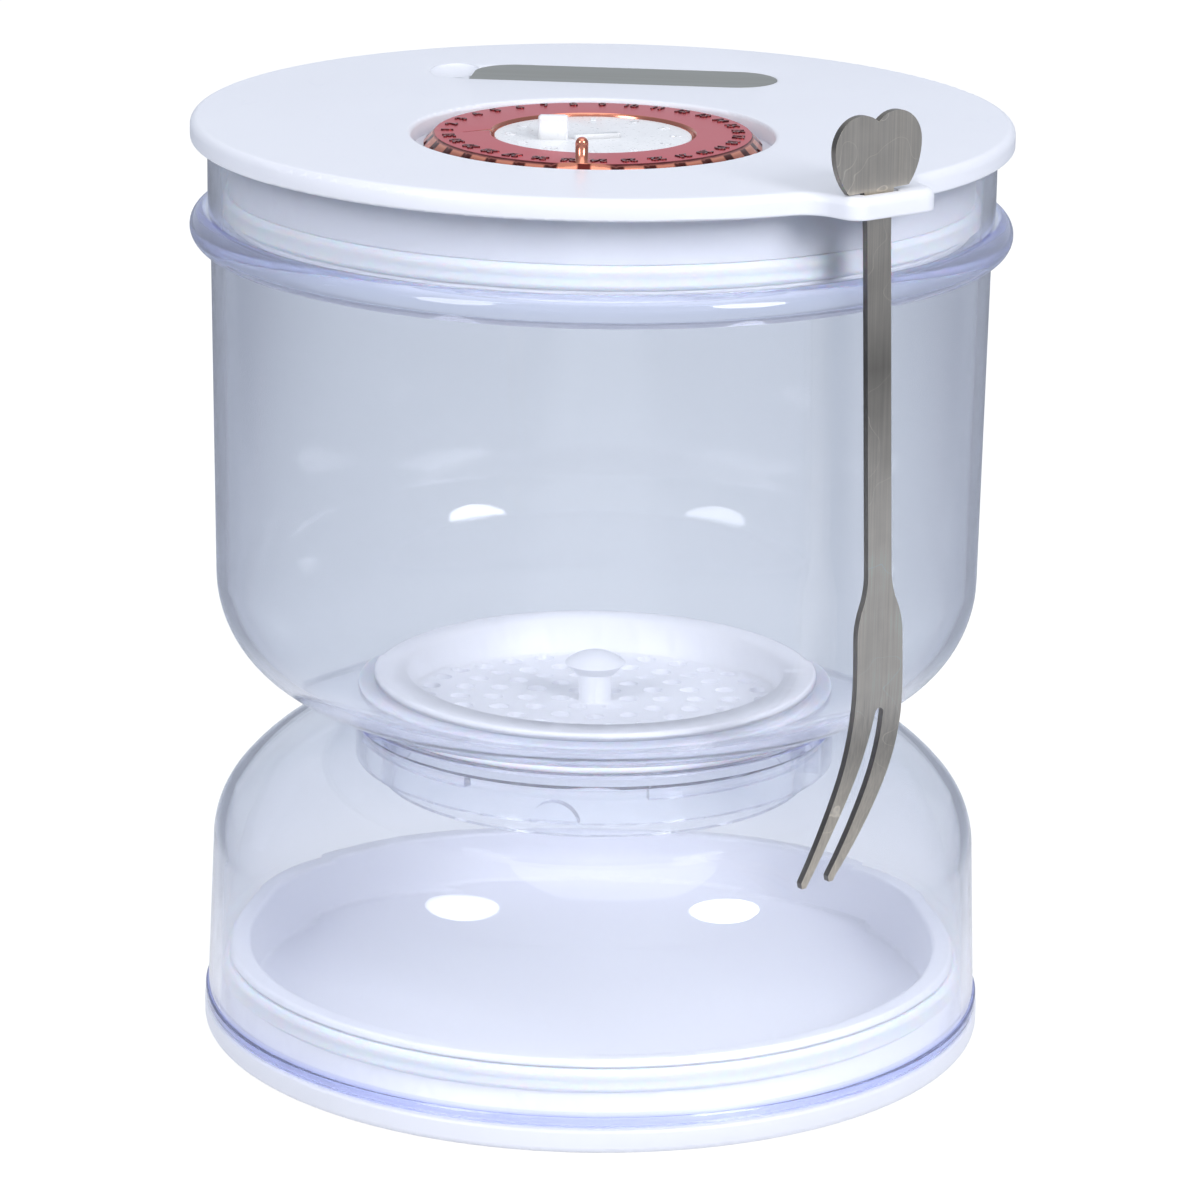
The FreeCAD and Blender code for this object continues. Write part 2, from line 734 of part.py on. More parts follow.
def make_top_lid():
    """The white top lid: a slab with a plug below, a dial well, a plate seat and a tab."""
    body = new_body("top_lid")
    outside = lid_plug_radius
    inside = outside - plug_wall
    groove_low = lid_plug_end + groove_from_end
    groove_high = groove_low + groove_height
    turn_profile(body, "TopLidTurned", [
        (0, lid_under),
        (inside - plug_round, lid_under),
        (inside, lid_under - plug_round, plug_round, "right"),
        (inside, lid_plug_end + plug_round),
        (inside + plug_round, lid_plug_end, plug_round, "left"),
        (outside - plug_round, lid_plug_end),
        (outside, lid_plug_end + plug_round, plug_round, "left"),
        (outside, groove_low),
        (outside - groove_depth, groove_low),
        (outside - groove_depth, groove_high),
        (outside, groove_high),
        (outside, lid_under),
        (lid_radius, lid_under),
        (lid_radius, jar_height),
        (0, jar_height)])

    tab = new_sketch(body, "TabOutline", "XY_Plane", lid_under)
    inner = lid_radius - plug_wall
    turn = tab_turn

    def at_tab(side, out):
        """A point of the tab: side along the rim, and out from the jar's axis."""
        return (side * cosine(turn) + out * sine(turn), side * sine(turn) - out * cosine(turn))

    base_half = tab_base_width / 2
    tip_half = tab_tip_width / 2
    tab_middle = lid_radius + tab_length / 2
    draw_outline(tab, [
        at_tab(-base_half, inner), at_tab(-tip_half, tab_reach), at_tab(tip_half, tab_reach),
        at_tab(base_half, inner)])
    padded = raise_shape(body, "Tab", tab, lid_thickness)

    def upright(edge):
        ends = [vertex.Point for vertex in edge.Vertexes]
        if len(ends) != 2:
            return False
        return abs(ends[0].z - ends[1].z) > lid_thickness.value - TOUCH

    def reach_of(edge):
        centre = edge.CenterOfMass
        return math.hypot(centre.x, centre.y)

    tip = round_edges(body, "TabTip", padded, tab_tip_round,
                      lambda edge: upright(edge) and reach_of(edge) > tab_middle.value)
    root_edges = round_edges(body, "TabRoot", tip, tab_base_round,
                             lambda edge: upright(edge)
                             and abs(reach_of(edge) - lid_radius.value) < TOUCH
                             and edge.CenterOfMass.x > 0)

    def on_rim(edge, height):
        box = edge.BoundBox
        flat = abs(box.ZMin - height.value) < TOUCH and abs(box.ZMax - height.value) < TOUCH
        middle = edge.valueAt((edge.FirstParameter + edge.LastParameter) / 2)
        return flat and math.hypot(middle.x, middle.y) > inner.value

    above = round_edges(body, "LidTopRound", root_edges, lid_top_round,
                        lambda edge: on_rim(edge, jar_height))
    round_edges(body, "LidUnderRound", above, lid_under_round,
                lambda edge: on_rim(edge, lid_under))

    pan = new_sketch(body, "WellPanOutline", "XY_Plane", lid_under)
    draw_circle(pan, 0, -dial_offset, dial_well_radius + dial_well_wall)
    raise_shape(body, "WellPan", pan, dial_well_depth + dial_floor - lid_thickness, reverse=True)
    well = new_sketch(body, "WellOutline", "XY_Plane", jar_height)
    draw_circle(well, 0, -dial_offset, dial_well_radius)
    sunk = raise_shape(body, "Well", well, dial_well_depth, "PartDesign::Pocket")

    def well_rim(edge):
        box = edge.BoundBox
        top = jar_height.value
        flat = abs(box.ZMin - top) < TOUCH and abs(box.ZMax - top) < TOUCH
        return flat and abs(box.XLength - dial_well_radius.value * 2) < TOUCH

    round_edges(body, "WellRim", sunk, dial_well_round, well_rim)
    boss = new_sketch(body, "BossOutline", "XY_Plane", well_floor)
    draw_circle(boss, 0, -dial_offset, boss_radius)
    raise_shape(body, "Boss", boss, boss_height)

    seat = new_sketch(body, "PlateSeatOutline", "XY_Plane", jar_height)
    draw_plate(seat, as_size(0))
    raise_shape(body, "PlateSeat", seat, plate_thickness, "PartDesign::Pocket")
    dish = body.newObject("PartDesign::SubtractiveEllipsoid", "FingerDish")
    dish.Radius1 = dish_depth.value
    dish.Radius2 = (dish_length / 2).value
    dish.Radius3 = (dish_width / 2).value
    dish.setExpression("Radius1", dish_depth.formula)
    dish.setExpression("Radius2", (dish_length / 2).formula)
    dish.setExpression("Radius3", (dish_width / 2).formula)
    dish_x = dish_overlap - plate_length / 2 - dish_length / 2
    dish.AttachmentSupport = (plane_of(body, "XY_Plane"), [""])
    dish.MapMode = "FlatFace"
    dish.AttachmentOffset = FreeCAD.Placement(
        FreeCAD.Vector(dish_x.value, plate_offset.value, jar_height.value), FreeCAD.Rotation())
    dish.setExpression("AttachmentOffset.Base.x", dish_x.formula)
    dish.setExpression("AttachmentOffset.Base.y", plate_offset.formula)
    dish.setExpression("AttachmentOffset.Base.z", jar_height.formula)
    DOC.recompute()

    slot = new_sketch(body, "SlotOutline", "XY_Plane", jar_height)
    half = slot_width / 2
    straight = (slot_length - slot_width) / 2
    right_end = straight - slot_shift
    left_end = -straight - slot_shift
    draw_outline(slot, [
        at_tab(right_end, slot_middle + half),
        at_tab(right_end + half, slot_middle) + (half, "right"),
        at_tab(right_end, slot_middle - half) + (half, "right"),
        at_tab(left_end, slot_middle - half),
        at_tab(left_end - half, slot_middle) + (half, "right"),
        at_tab(left_end, slot_middle + half) + (half, "right")])
    cut = raise_shape(body, "Slot", slot, lid_thickness * 2, "PartDesign::Pocket")
    body.Tip = cut
    place(body, lid_turn)
    return body


def make_lid_gasket():
    body = new_body("lid_gasket")
    inside = lid_plug_radius - groove_depth + gasket_gap
    outside = neck_inside - slide_gap
    low = lid_plug_end + groove_from_end + gasket_gap
    body.Tip = turn_profile(body, "LidGasketTurned", gasket_profile(inside, outside, low))
    return body


def make_date_ring():
    """The fluted ring of the dial, for the days, with its pin and index line."""
    body = new_body("date_ring")
    low = well_floor + seat_gap
    lip_top = disc_top - disc_thickness - seat_gap
    lip_inside = ring_bore - ring_lip
    turn_profile(body, "DateRingTurned", [
        (lip_inside, low),
        (ring_radius, low),
        (ring_radius, jar_height - ring_bevel),
        (ring_radius - ring_bevel, jar_height),
        (ring_bore + ring_bore_bevel, jar_height),
        (ring_bore, jar_height - ring_bore_bevel),
        (ring_bore, lip_top),
        (lip_inside, lip_top)])
    flute_sketch = new_sketch(body, "FluteOutline", "XY_Plane", jar_height)
    draw_circle(flute_sketch, ring_radius + flute_outset, 0, flute_radius)
    flute = raise_shape(body, "Flute", flute_sketch, dial_well_depth * 2, "PartDesign::Pocket")
    repeat_round(body, "Flutes", flute, ring_flutes)
    index_sketch = new_sketch(body, "IndexOutline", "XY_Plane", jar_height)
    index_x = -(ring_bore + index_inset)
    ahead_x = index_length / 2 * cosine(index_turn)
    ahead_y = index_length / 2 * sine(index_turn)
    side_x = index_width / 2 * sine(index_turn)
    side_y = index_width / 2 * cosine(index_turn)
    draw_outline(index_sketch, [
        (index_x - ahead_x + side_x, -ahead_y - side_y),
        (index_x + ahead_x + side_x, ahead_y - side_y),
        (index_x + ahead_x - side_x, ahead_y + side_y),
        (index_x - ahead_x - side_x, side_y - ahead_y)])
    raise_shape(body, "IndexLine", index_sketch, index_depth, "PartDesign::Pocket")
    pin_sketch = new_sketch(body, "PinOutline", "XY_Plane", jar_height - index_depth)
    draw_circle(pin_sketch, pin_ring_radius * sine(pin_turn),
                -(pin_ring_radius * cosine(pin_turn)), pin_radius)
    pin = raise_shape(body, "Pin", pin_sketch, pin_height + index_depth)
    tip = jar_height + pin_height
    body.Tip = round_edges(body, "PinTip", pin, pin_round,
                           lambda edge: abs(edge.CenterOfMass.z - tip.value) < TOUCH)
    place_on_dial(body)
    return body


def make_month_disc():
    """The white middle disc of the dial, for the months, which turns on the boss of the lid."""
    body = new_body("month_disc")
    low = well_floor + seat_gap
    under = disc_top - disc_thickness
    socket = boss_radius + running_gap
    socket_top = well_floor + boss_height + boss_gap
    radius = ring_bore - disc_gap
    turn_profile(body, "MonthDiscTurned", [
        (socket, low), (stem_radius, low), (stem_radius, under), (radius, under),
        (radius, disc_top), (0, disc_top), (0, socket_top), (socket, socket_top)])
    bite = disc_thickness / 4
    grip = new_sketch(body, "GripOutline", "XY_Plane", disc_top - bite)
    across = grip_width / 2
    deep = grip_depth / 2
    draw_outline(grip, [
        (grip_x - across, grip_y - deep), (grip_x + across, grip_y - deep),
        (grip_x + across, grip_y + deep), (grip_x - across, grip_y + deep)])
    raised = raise_shape(body, "Grip", grip, grip_height + bite)

    def grip_edge(edge):
        return edge.CenterOfMass.z > disc_top.value + TOUCH

    round_edges(body, "GripRound", raised, grip_round, grip_edge)
    pointer = new_sketch(body, "PointerOutline", "XY_Plane", disc_top - bite)
    half = pointer_width / 2
    straight = (pointer_length - pointer_width) / 2

    def at_pointer(along, side):
        return (pointer_x + along * cosine(pointer_turn) - side * sine(pointer_turn),
                pointer_y + along * sine(pointer_turn) + side * cosine(pointer_turn))

    draw_outline(pointer, [
        at_pointer(straight, -half),
        at_pointer(straight + half, as_size(0)) + (half, "left"),
        at_pointer(straight, half) + (half, "left"),
        at_pointer(-straight, half),
        at_pointer(-straight - half, as_size(0)) + (half, "left"),
        at_pointer(-straight, -half) + (half, "left")])
    body.Tip = raise_shape(body, "Pointer", pointer, pointer_height + bite)
    place_on_dial(body)
    return body


def make_lid_plate():
    body = new_body("lid_plate")
    sketch = new_sketch(body, "PlateOutline", "XY_Plane", jar_height - plate_thickness)
    draw_plate(sketch, plate_gap)
    body.Tip = raise_shape(body, "Plate", sketch, plate_thickness)
    place(body, lid_turn)
    return body


def make_fork():
    """The flat fork: a heart for a head, a thin shank, and a blade bent into two tines.

    The side view is padded as a bent strip, and what lies outside the front view is cut off.
    Its zero height is at the shoulders, which rest on the tab."""
    body = new_body("fork")
    half = fork_thickness / 2
    bend_x = tine_bend * (as_size(1) - cosine(tine_angle))
    bend_z = tine_bend * sine(tine_angle)
    run = (fork_length - crease_drop - bend_z) / cosine(tine_angle) + fork_thickness * 2
    end_x = bend_x + run * sine(tine_angle)
    end_z = -crease_drop - bend_z - run * cosine(tine_angle)
    off_x = half * cosine(tine_angle)
    off_z = half * sine(tine_angle)
    top = head_height + fork_thickness
    side = new_sketch(body, "ForkSide", "YZ_Plane")
    draw_outline(side, [
        (-half, top),
        (-half, -crease_drop),
        (bend_x - off_x, -crease_drop - bend_z - off_z, tine_bend + half, "left"),
        (end_x - off_x, end_z - off_z),
        (end_x + off_x, end_z + off_z),
        (bend_x + off_x, -crease_drop - bend_z + off_z),
        (half, -crease_drop, tine_bend - half, "right"),
        (half, top)])
    strip = body.newObject("PartDesign::Pad", "ForkStrip")
    strip.Profile = side
    strip.SideType = "Symmetric"
    strip.Length = (head_width * 2).value
    strip.setExpression("Length", (head_width * 2).formula)
    DOC.recompute()

    head = head_width / 2
    shoulder = shoulder_width / 2
    throat = throat_width / 2
    shank = shank_width / 2
    blade = blade_width / 2
    slit = slit_width / 2
    lobe_x = head - lobe_radius
    lobe_z = head_height - lobe_radius
    notch_z = lobe_z + root(lobe_radius * lobe_radius - lobe_x * lobe_x)
    cheek = tangent_radius(head - shoulder, lobe_z)
    throat_curve = tangent_radius(throat - shank, throat_length)
    flare_x = (blade - shank) / 2
    flare_z = flare_length / 2
    flare_curve = tangent_radius(flare_x, flare_z)
    flare_top = -shank_length
    flare_low = flare_top - flare_length
    left_run = fork_length - left_tine_start - tine_point
    right_run = fork_length - right_tine_start - tine_point
    outer_tip = tine_spread
    inner_tip = tine_spread - tine_tip
    left_outer = -outer_tip - tine_sweep
    left_inner = -inner_tip - tine_sweep
    right_outer = outer_tip - tine_sweep
    right_inner = inner_tip - tine_sweep
    tip_z = -fork_length
    point_z = tine_point - fork_length
    front = new_sketch(body, "ForkFront", "XZ_Plane")
    wide = head_width * 1.5
    draw_outline(front, [
        (-wide, tip_z - head_width), (wide, tip_z - head_width),
        (wide, top + head_width), (-wide, top + head_width)])
    draw_outline(front, [
        (shoulder, 0),
        (head, lobe_z, cheek, "left"),
        (lobe_x, head_height, lobe_radius, "left"),
        (0, notch_z, lobe_radius, "left"),
        (-lobe_x, head_height, lobe_radius, "left"),
        (-head, lobe_z, lobe_radius, "left"),
        (-shoulder, 0, cheek, "left"),
        (-throat, 0),
        (-shank, -throat_length, throat_curve, "right"),
        (-shank, flare_top),
        (-shank - flare_x, flare_top - flare_z, flare_curve, "right"),
        (-blade, flare_low, flare_curve, "left"),
        (-blade, -left_tine_start),
        (left_outer, point_z, tangent_radius(-blade - left_outer, left_run), "right"),
        (left_outer + tine_bevel, tip_z),
        (left_inner - tine_bevel, tip_z),
        (left_inner, point_z),
        (-slit, -slit_start, slit_left_curve, "left"),
        (0, slit - slit_start, slit, "right"),
        (slit, -slit_start, slit, "right"),
        (right_inner, point_z, slit_right_curve, "right"),
        (right_inner + tine_bevel, tip_z),
        (right_outer - tine_bevel, tip_z),
        (right_outer, point_z),
        (blade, -right_tine_start, tangent_radius(blade - right_outer, right_run), "left"),
        (blade, flare_low),
        (shank + flare_x, flare_top - flare_z, flare_curve, "left"),
        (shank, flare_top, flare_curve, "right"),
        (shank, -throat_length),
        (throat, 0, throat_curve, "right")])
    cut = body.newObject("PartDesign::Pocket", "ForkOutside")
    cut.Profile = front
    cut.SideType = "Symmetric"
    cut.Length = (head_width * 6).value
    cut.setExpression("Length", (head_width * 6).formula)
    DOC.recompute()
    body.Tip = cut

    azimuth = lid_turn + tab_turn
    height = jar_height + fork_rest_gap + shoulder_width / 2 * sine(fork_lean)
    spin = FreeCAD.Rotation(FreeCAD.Vector(0, 0, 1), azimuth.value)
    lean = FreeCAD.Rotation(FreeCAD.Vector(0, 1, 0), -fork_lean.value)
    out_x = slot_middle * sine(azimuth) - slot_shift * cosine(azimuth)
    out_y = -(slot_middle * cosine(azimuth)) - slot_shift * sine(azimuth)
    body.Placement = FreeCAD.Placement(
        FreeCAD.Vector(out_x.value, out_y.value, height.value), spin.multiply(lean))
    body.setExpression("Placement.Base.x", out_x.formula)
    body.setExpression("Placement.Base.y", out_y.formula)
    body.setExpression("Placement.Base.z", height.formula)
    return body


BODIES = [
    make_base_lid(),
    make_base_gasket(),
    make_lower_chamber(),
    make_waist_seal(),
    make_upper_chamber(),
    make_strainer(),
    make_top_lid(),
    make_lid_gasket(),
    make_date_ring(),
    make_month_disc(),
    make_lid_plate(),
    make_fork(),
]

DOC.recompute()
for thing in DOC.Objects:
    if "Invalid" in thing.State or "Error" in thing.State:
        raise RuntimeError(f"{thing.Name} failed: {thing.State}")

os.makedirs("parts", exist_ok=True)
for body in BODIES:
    shape = body.Shape
    if shape.isNull() or not shape.isValid() or len(shape.Solids) != 1:
        raise RuntimeError(f"{body.Label} is not one valid solid")
    shape.exportStep(f"parts/{body.Label}.step")
    box = shape.BoundBox
    print(f"{body.Label}: volume {shape.Volume:.0f} mm3, X {box.XMin:.2f} to {box.XMax:.2f}, "
          f"Y {box.YMin:.2f} to {box.YMax:.2f}, Z {box.ZMin:.2f} to {box.ZMax:.2f}")
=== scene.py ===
# %% [markdown]
# A clear jar on a white sweep
#
# This lesson dresses a flip jar for looks: two clear chambers that meet at a waist, white lids,
# a rose-gold date dial and a steel fork. The jar's real shape and size come first, from the
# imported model. Every new piece is then made around it, in metres, in the same frame.

import json
import math

import bmesh
import bpy
from mathutils import Matrix, Vector

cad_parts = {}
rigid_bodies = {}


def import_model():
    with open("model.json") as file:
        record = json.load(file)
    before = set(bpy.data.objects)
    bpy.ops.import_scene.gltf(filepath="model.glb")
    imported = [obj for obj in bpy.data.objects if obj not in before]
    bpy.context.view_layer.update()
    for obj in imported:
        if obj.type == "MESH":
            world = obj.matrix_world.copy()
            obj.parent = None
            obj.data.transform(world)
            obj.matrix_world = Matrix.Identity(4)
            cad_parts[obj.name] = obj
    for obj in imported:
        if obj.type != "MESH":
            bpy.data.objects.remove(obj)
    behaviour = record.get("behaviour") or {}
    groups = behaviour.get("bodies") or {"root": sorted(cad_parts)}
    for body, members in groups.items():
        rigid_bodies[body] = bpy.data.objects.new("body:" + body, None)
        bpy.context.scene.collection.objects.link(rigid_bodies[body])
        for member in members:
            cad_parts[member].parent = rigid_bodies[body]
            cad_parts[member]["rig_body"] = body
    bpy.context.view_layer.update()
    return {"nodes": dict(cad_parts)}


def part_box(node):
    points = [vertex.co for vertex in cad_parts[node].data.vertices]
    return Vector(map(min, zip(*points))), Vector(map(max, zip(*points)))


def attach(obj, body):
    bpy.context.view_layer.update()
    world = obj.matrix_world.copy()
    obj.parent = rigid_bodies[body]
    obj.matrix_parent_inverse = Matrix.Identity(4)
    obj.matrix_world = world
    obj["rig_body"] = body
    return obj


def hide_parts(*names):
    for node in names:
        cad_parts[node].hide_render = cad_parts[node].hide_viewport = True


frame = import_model()
for name in sorted(frame["nodes"]):
    low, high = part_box(name)
    print(f"{name}: {(high.x - low.x) * 1000:.1f} mm across, {(high.z - low.z) * 1000:.1f} mm high")

MM = 0.001
JAR_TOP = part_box("lid_plate")[1].z

# %% [markdown]
# The camera comes first, because every later choice is judged through it. A long lens far away
# gives the flat perspective of a catalogue picture. The place, the tilt and the lens were worked
# out from the ellipses that the round lid and flange make, so they are plain numbers here.

# %% Set the camera
PICTURE_SIDE = 1200
FOCAL_PIXELS = 5195.2
SENSOR_MM = 36.0
CAMERA_PLACE = Vector((0.0, -0.9038, 0.3420))
CAMERA_PITCH = math.radians(16.230)
CAMERA_YAW = math.radians(0.044)
CAMERA_ROLL = math.radians(0.830)


def aim_camera():
    """Makes the camera and turns it down, sideways and about its own axis."""
    data = bpy.data.cameras.new("catalogue_camera")
    data.sensor_width = SENSOR_MM
    data.lens = SENSOR_MM * FOCAL_PIXELS / PICTURE_SIDE
    data.dof.use_dof = False
    camera = bpy.data.objects.new("catalogue_camera", data)
    bpy.context.scene.collection.objects.link(camera)
    level = math.cos(CAMERA_PITCH)
    ahead = Vector((math.sin(CAMERA_YAW) * level, math.cos(CAMERA_YAW) * level,
                    -math.sin(CAMERA_PITCH)))
    right = Vector((math.cos(CAMERA_YAW), -math.sin(CAMERA_YAW), 0.0))
    up = right.cross(ahead)
    turned_right = right * math.cos(CAMERA_ROLL) + up * math.sin(CAMERA_ROLL)
    turned_up = up * math.cos(CAMERA_ROLL) - right * math.sin(CAMERA_ROLL)
    axes = Matrix((turned_right, turned_up, -ahead)).transposed().to_4x4()
    camera.matrix_world = Matrix.Translation(CAMERA_PLACE) @ axes
    bpy.context.scene.camera = camera
    return camera


camera = aim_camera()
print(f"lens {camera.data.lens:.1f} mm, {CAMERA_PLACE.length:.3f} m from the foot of the jar")

# %% [markdown]
# Helpers for nodes. A material here is a small graph: one Principled shader and a few nodes that
# vary its colour, roughness or bump. These functions keep each graph short to read.

# %% Node helpers


def node(tree, kind, label=None, **inputs):
    """Adds a node, and sets or links the inputs that are given by name."""
    made = tree.nodes.new(kind)
    if label:
        made.label = label
    for key, value in inputs.items():
        socket = made.inputs[key.replace("_", " ")]
        if isinstance(value, bpy.types.NodeSocket):
            tree.links.new(value, socket)
        else:
            socket.default_value = value
    return made


def maths(tree, operation, *values):
    """One Math node. Each value is a number or a socket."""
    made = tree.nodes.new("ShaderNodeMath")
    made.operation = operation
    for number, value in enumerate(values):
        if isinstance(value, bpy.types.NodeSocket):
            tree.links.new(value, made.inputs[number])
        else:
            made.inputs[number].default_value = value
    return made.outputs[0]


def blend_colour(tree, mask, low, high):
    """Mixes two plain colours by a mask."""
    made = tree.nodes.new("ShaderNodeMix")
    made.data_type = "RGBA"
    tree.links.new(mask, made.inputs["Factor"])
    made.inputs[6].default_value = (*low, 1.0)
    made.inputs[7].default_value = (*high, 1.0)
    return made.outputs[2]


def tint_over(tree, colour, mask, over):
    """A colour that turns into another one where a mask is 1."""
    made = tree.nodes.new("ShaderNodeMix")
    made.data_type = "RGBA"
    tree.links.new(mask, made.inputs["Factor"])
    tree.links.new(colour, made.inputs[6])
    made.inputs[7].default_value = (*over, 1.0)
    return made.outputs[2]


def step_mask(tree, value, start, end):
    """A mask that goes from 0 to 1 as a value goes from start to end."""
    made = node(tree, "ShaderNodeMapRange", Value=value)
    made.inputs["From Min"].default_value = start
    made.inputs["From Max"].default_value = end
    return made.outputs["Result"]


def distance(tree, across, along):
    """The distance from a middle, from the two offsets to it."""
    squares = (maths(tree, "MULTIPLY", part, part) for part in (across, along))
    return maths(tree, "SQRT", maths(tree, "ADD", *squares))


def mix_shaders(tree, share, first, second):
    """Goes from the first shader to the second as the share goes from 0 to 1."""
    made = tree.nodes.new("ShaderNodeMixShader")
    for number, socket in enumerate((share, first, second)):
        tree.links.new(socket, made.inputs[number])
    return made.outputs[0]


def spread(tree, value, low, high):
    """Maps a value from 0 to 1 onto low to high."""
    made = tree.nodes.new("ShaderNodeMapRange")
    tree.links.new(value, made.inputs["Value"])
    made.inputs["To Min"].default_value = low
    made.inputs["To Max"].default_value = high
    return made.outputs["Result"]


def new_material(name, **inputs):
    """A material with one Principled shader, whose plain inputs are set by name."""
    material = bpy.data.materials.new(name)
    material.use_nodes = True
    shader = material.node_tree.nodes["Principled BSDF"]
    for key, value in inputs.items():
        shader.inputs[key.replace("_", " ")].default_value = value
    return material, material.node_tree, shader


# %% [markdown]
# The stage is a pale floor in a pale studio. The camera sees both as white, by colour and not by
# strong lamps, so the jar keeps its own tones. Part of the floor still answers to light, which
# leaves the jar its soft contact shadow. Clear plastic has hardly a colour of its own, and shows
# what lies behind it: so through the plastic, and in its reflections, the floor is white near
# the jar and turns to the grey-blue of the studio further out. Dark flags stand to the left and
# right, as they do round any clear thing in a studio, and their reflections draw its sides.

# %% Floor and world
FLOOR_SIDE = 8.0
FLOOR_GLOW_SHARE = 0.8
FLOOR_GLOW = 1.16
FLOOR_COLOUR = (0.8, 0.8, 0.8, 1.0)
FLOOR_ROUGHNESS = 0.9
NEAR_COLOUR = (0.88, 0.90, 0.97)
STUDIO_COLOUR = (0.56, 0.61, 0.69)
ZENITH_COLOUR = (0.72, 0.75, 0.80)
FLAG_COLOUR = (0.30, 0.33, 0.40)
NEAR_REACH = 0.08
FAR_REACH = 0.20
FLAG_START = 0.07
FLAG_END = 0.17
SKY_FLAG_START = 0.3
SKY_FLAG_END = 0.8
CAMERA_WHITE = (1.0, 1.0, 1.0, 1.0)


def flagged(tree, across, start, end, colour):
    """Turns a colour to that of the flags where a place or a way is far enough to the side."""
    side = node(tree, "ShaderNodeMapRange", Value=maths(tree, "ABSOLUTE", across))
    side.interpolation_type = "SMOOTHSTEP"
    side.inputs["From Min"].default_value = start
    side.inputs["From Max"].default_value = end
    return tint_over(tree, colour, side.outputs["Result"], FLAG_COLOUR)


def make_floor():
    """A wide floor: pale to light, white to the camera, grey-blue behind and in the plastic."""
    bm = bmesh.new()
    bmesh.ops.create_grid(bm, x_segments=1, y_segments=1, size=FLOOR_SIDE / 2)
    mesh = bpy.data.meshes.new("sweep_floor")
    bm.to_mesh(mesh)
    bm.free()
    floor = bpy.data.objects.new("sweep_floor", mesh)
    bpy.context.scene.collection.objects.link(floor)
    material, tree, shader = new_material(
        "pale_floor", Base_Color=FLOOR_COLOUR, Roughness=FLOOR_ROUGHNESS)
    path = tree.nodes.new("ShaderNodeLightPath").outputs
    white = node(tree, "ShaderNodeEmission", Color=CAMERA_WHITE, Strength=FLOOR_GLOW)
    place = tree.nodes.new("ShaderNodeTexCoord").outputs["Object"]
    away = tree.nodes.new("ShaderNodeVectorMath")
    away.operation = "LENGTH"
    tree.links.new(place, away.inputs[0])
    across = node(tree, "ShaderNodeSeparateXYZ", Vector=place).outputs["X"]
    far = step_mask(tree, away.outputs["Value"], NEAR_REACH, FAR_REACH)
    plain = blend_colour(tree, far, NEAR_COLOUR, STUDIO_COLOUR)
    tinted = node(tree, "ShaderNodeEmission", Strength=1.0,
                  Color=flagged(tree, across, FLAG_START, FLAG_END, plain))
    to_eye = maths(tree, "MULTIPLY", path["Is Camera Ray"], FLOOR_GLOW_SHARE)
    by_plastic = maths(tree, "MAXIMUM", path["Is Glossy Ray"], path["Is Transmission Ray"])
    first = mix_shaders(tree, to_eye, shader.outputs[0], white.outputs[0])
    second = mix_shaders(tree, by_plastic, first, tinted.outputs[0])
    tree.links.new(second, tree.nodes["Material Output"].inputs["Surface"])
    mesh.materials.append(material)
    return floor


def make_world():
    """The studio round the jar, white to the camera and grey-blue to everything else."""
    world = bpy.data.worlds.new("studio")
    world.use_nodes = True
    tree = world.node_tree
    way = tree.nodes.new("ShaderNodeSeparateXYZ")
    tree.links.new(tree.nodes.new("ShaderNodeTexCoord").outputs["Generated"], way.inputs[0])
    studio = tree.nodes["Background"]
    plain = blend_colour(tree, way.outputs["Z"], STUDIO_COLOUR, ZENITH_COLOUR)
    tree.links.new(flagged(tree, way.outputs["X"], SKY_FLAG_START, SKY_FLAG_END, plain),
                   studio.inputs["Color"])
    white = node(tree, "ShaderNodeBackground", Color=CAMERA_WHITE, Strength=1.0)
    path = tree.nodes.new("ShaderNodeLightPath").outputs
    mixed = mix_shaders(tree, path["Is Camera Ray"], studio.outputs[0], white.outputs[0])
    tree.links.new(mixed, tree.nodes["World Output"].inputs["Surface"])
    bpy.context.scene.world = world
    return world


print("stage:", make_floor().name, "and", make_world().name)

# %% [markdown]
# The lamps are round and oval soft boxes. A clear or glossy shape is drawn by what it mirrors,
# so each lamp's place is chosen for the highlight that it leaves: a broad one from above for the
# lids, and two round ones in front for the pair of bright ovals on the lower chamber.

# %% Lamps


def soft_box(name, place, target, width, height, power):
    """An oval lamp at a place, turned towards a target, in metres and watts."""
    data = bpy.data.lights.new(name, "AREA")
    data.shape = "ELLIPSE"
    data.size = width
    data.size_y = height
    data.energy = power
    lamp = bpy.data.objects.new(name, data)
    bpy.context.scene.collection.objects.link(lamp)
    lamp.location = place
    lamp.rotation_euler = (Vector(target) - Vector(place)).to_track_quat("-Z", "Y").to_euler()
    return lamp


JAR_MIDDLE = (0.0, 0.0, JAR_TOP / 2)
LAMPS = (
    ("top_box", (0.1, -0.3, 1.3), 1.0, 1.0, 2.2),
    ("left_box", (-0.9, -1.0, 0.86), 0.55, 0.85, 6.8),
    ("right_box", (0.98, -1.05, 0.91), 0.55, 0.85, 12.2),
)
for name, place, width, height, power in LAMPS:
    lamp = soft_box(name, place, JAR_MIDDLE, width, height, power)
    print(f"{lamp.name}: {power} W")

# %% [markdown]
# Two effects are shared by several materials, so each is a node group with named inputs. The
# first is the faint unevenness of moulded plastic: slow clouds in tone and a fine grain. The
# second is the grain that brushing or rolling leaves on steel: noise drawn out along one way.

# %% Shared effects


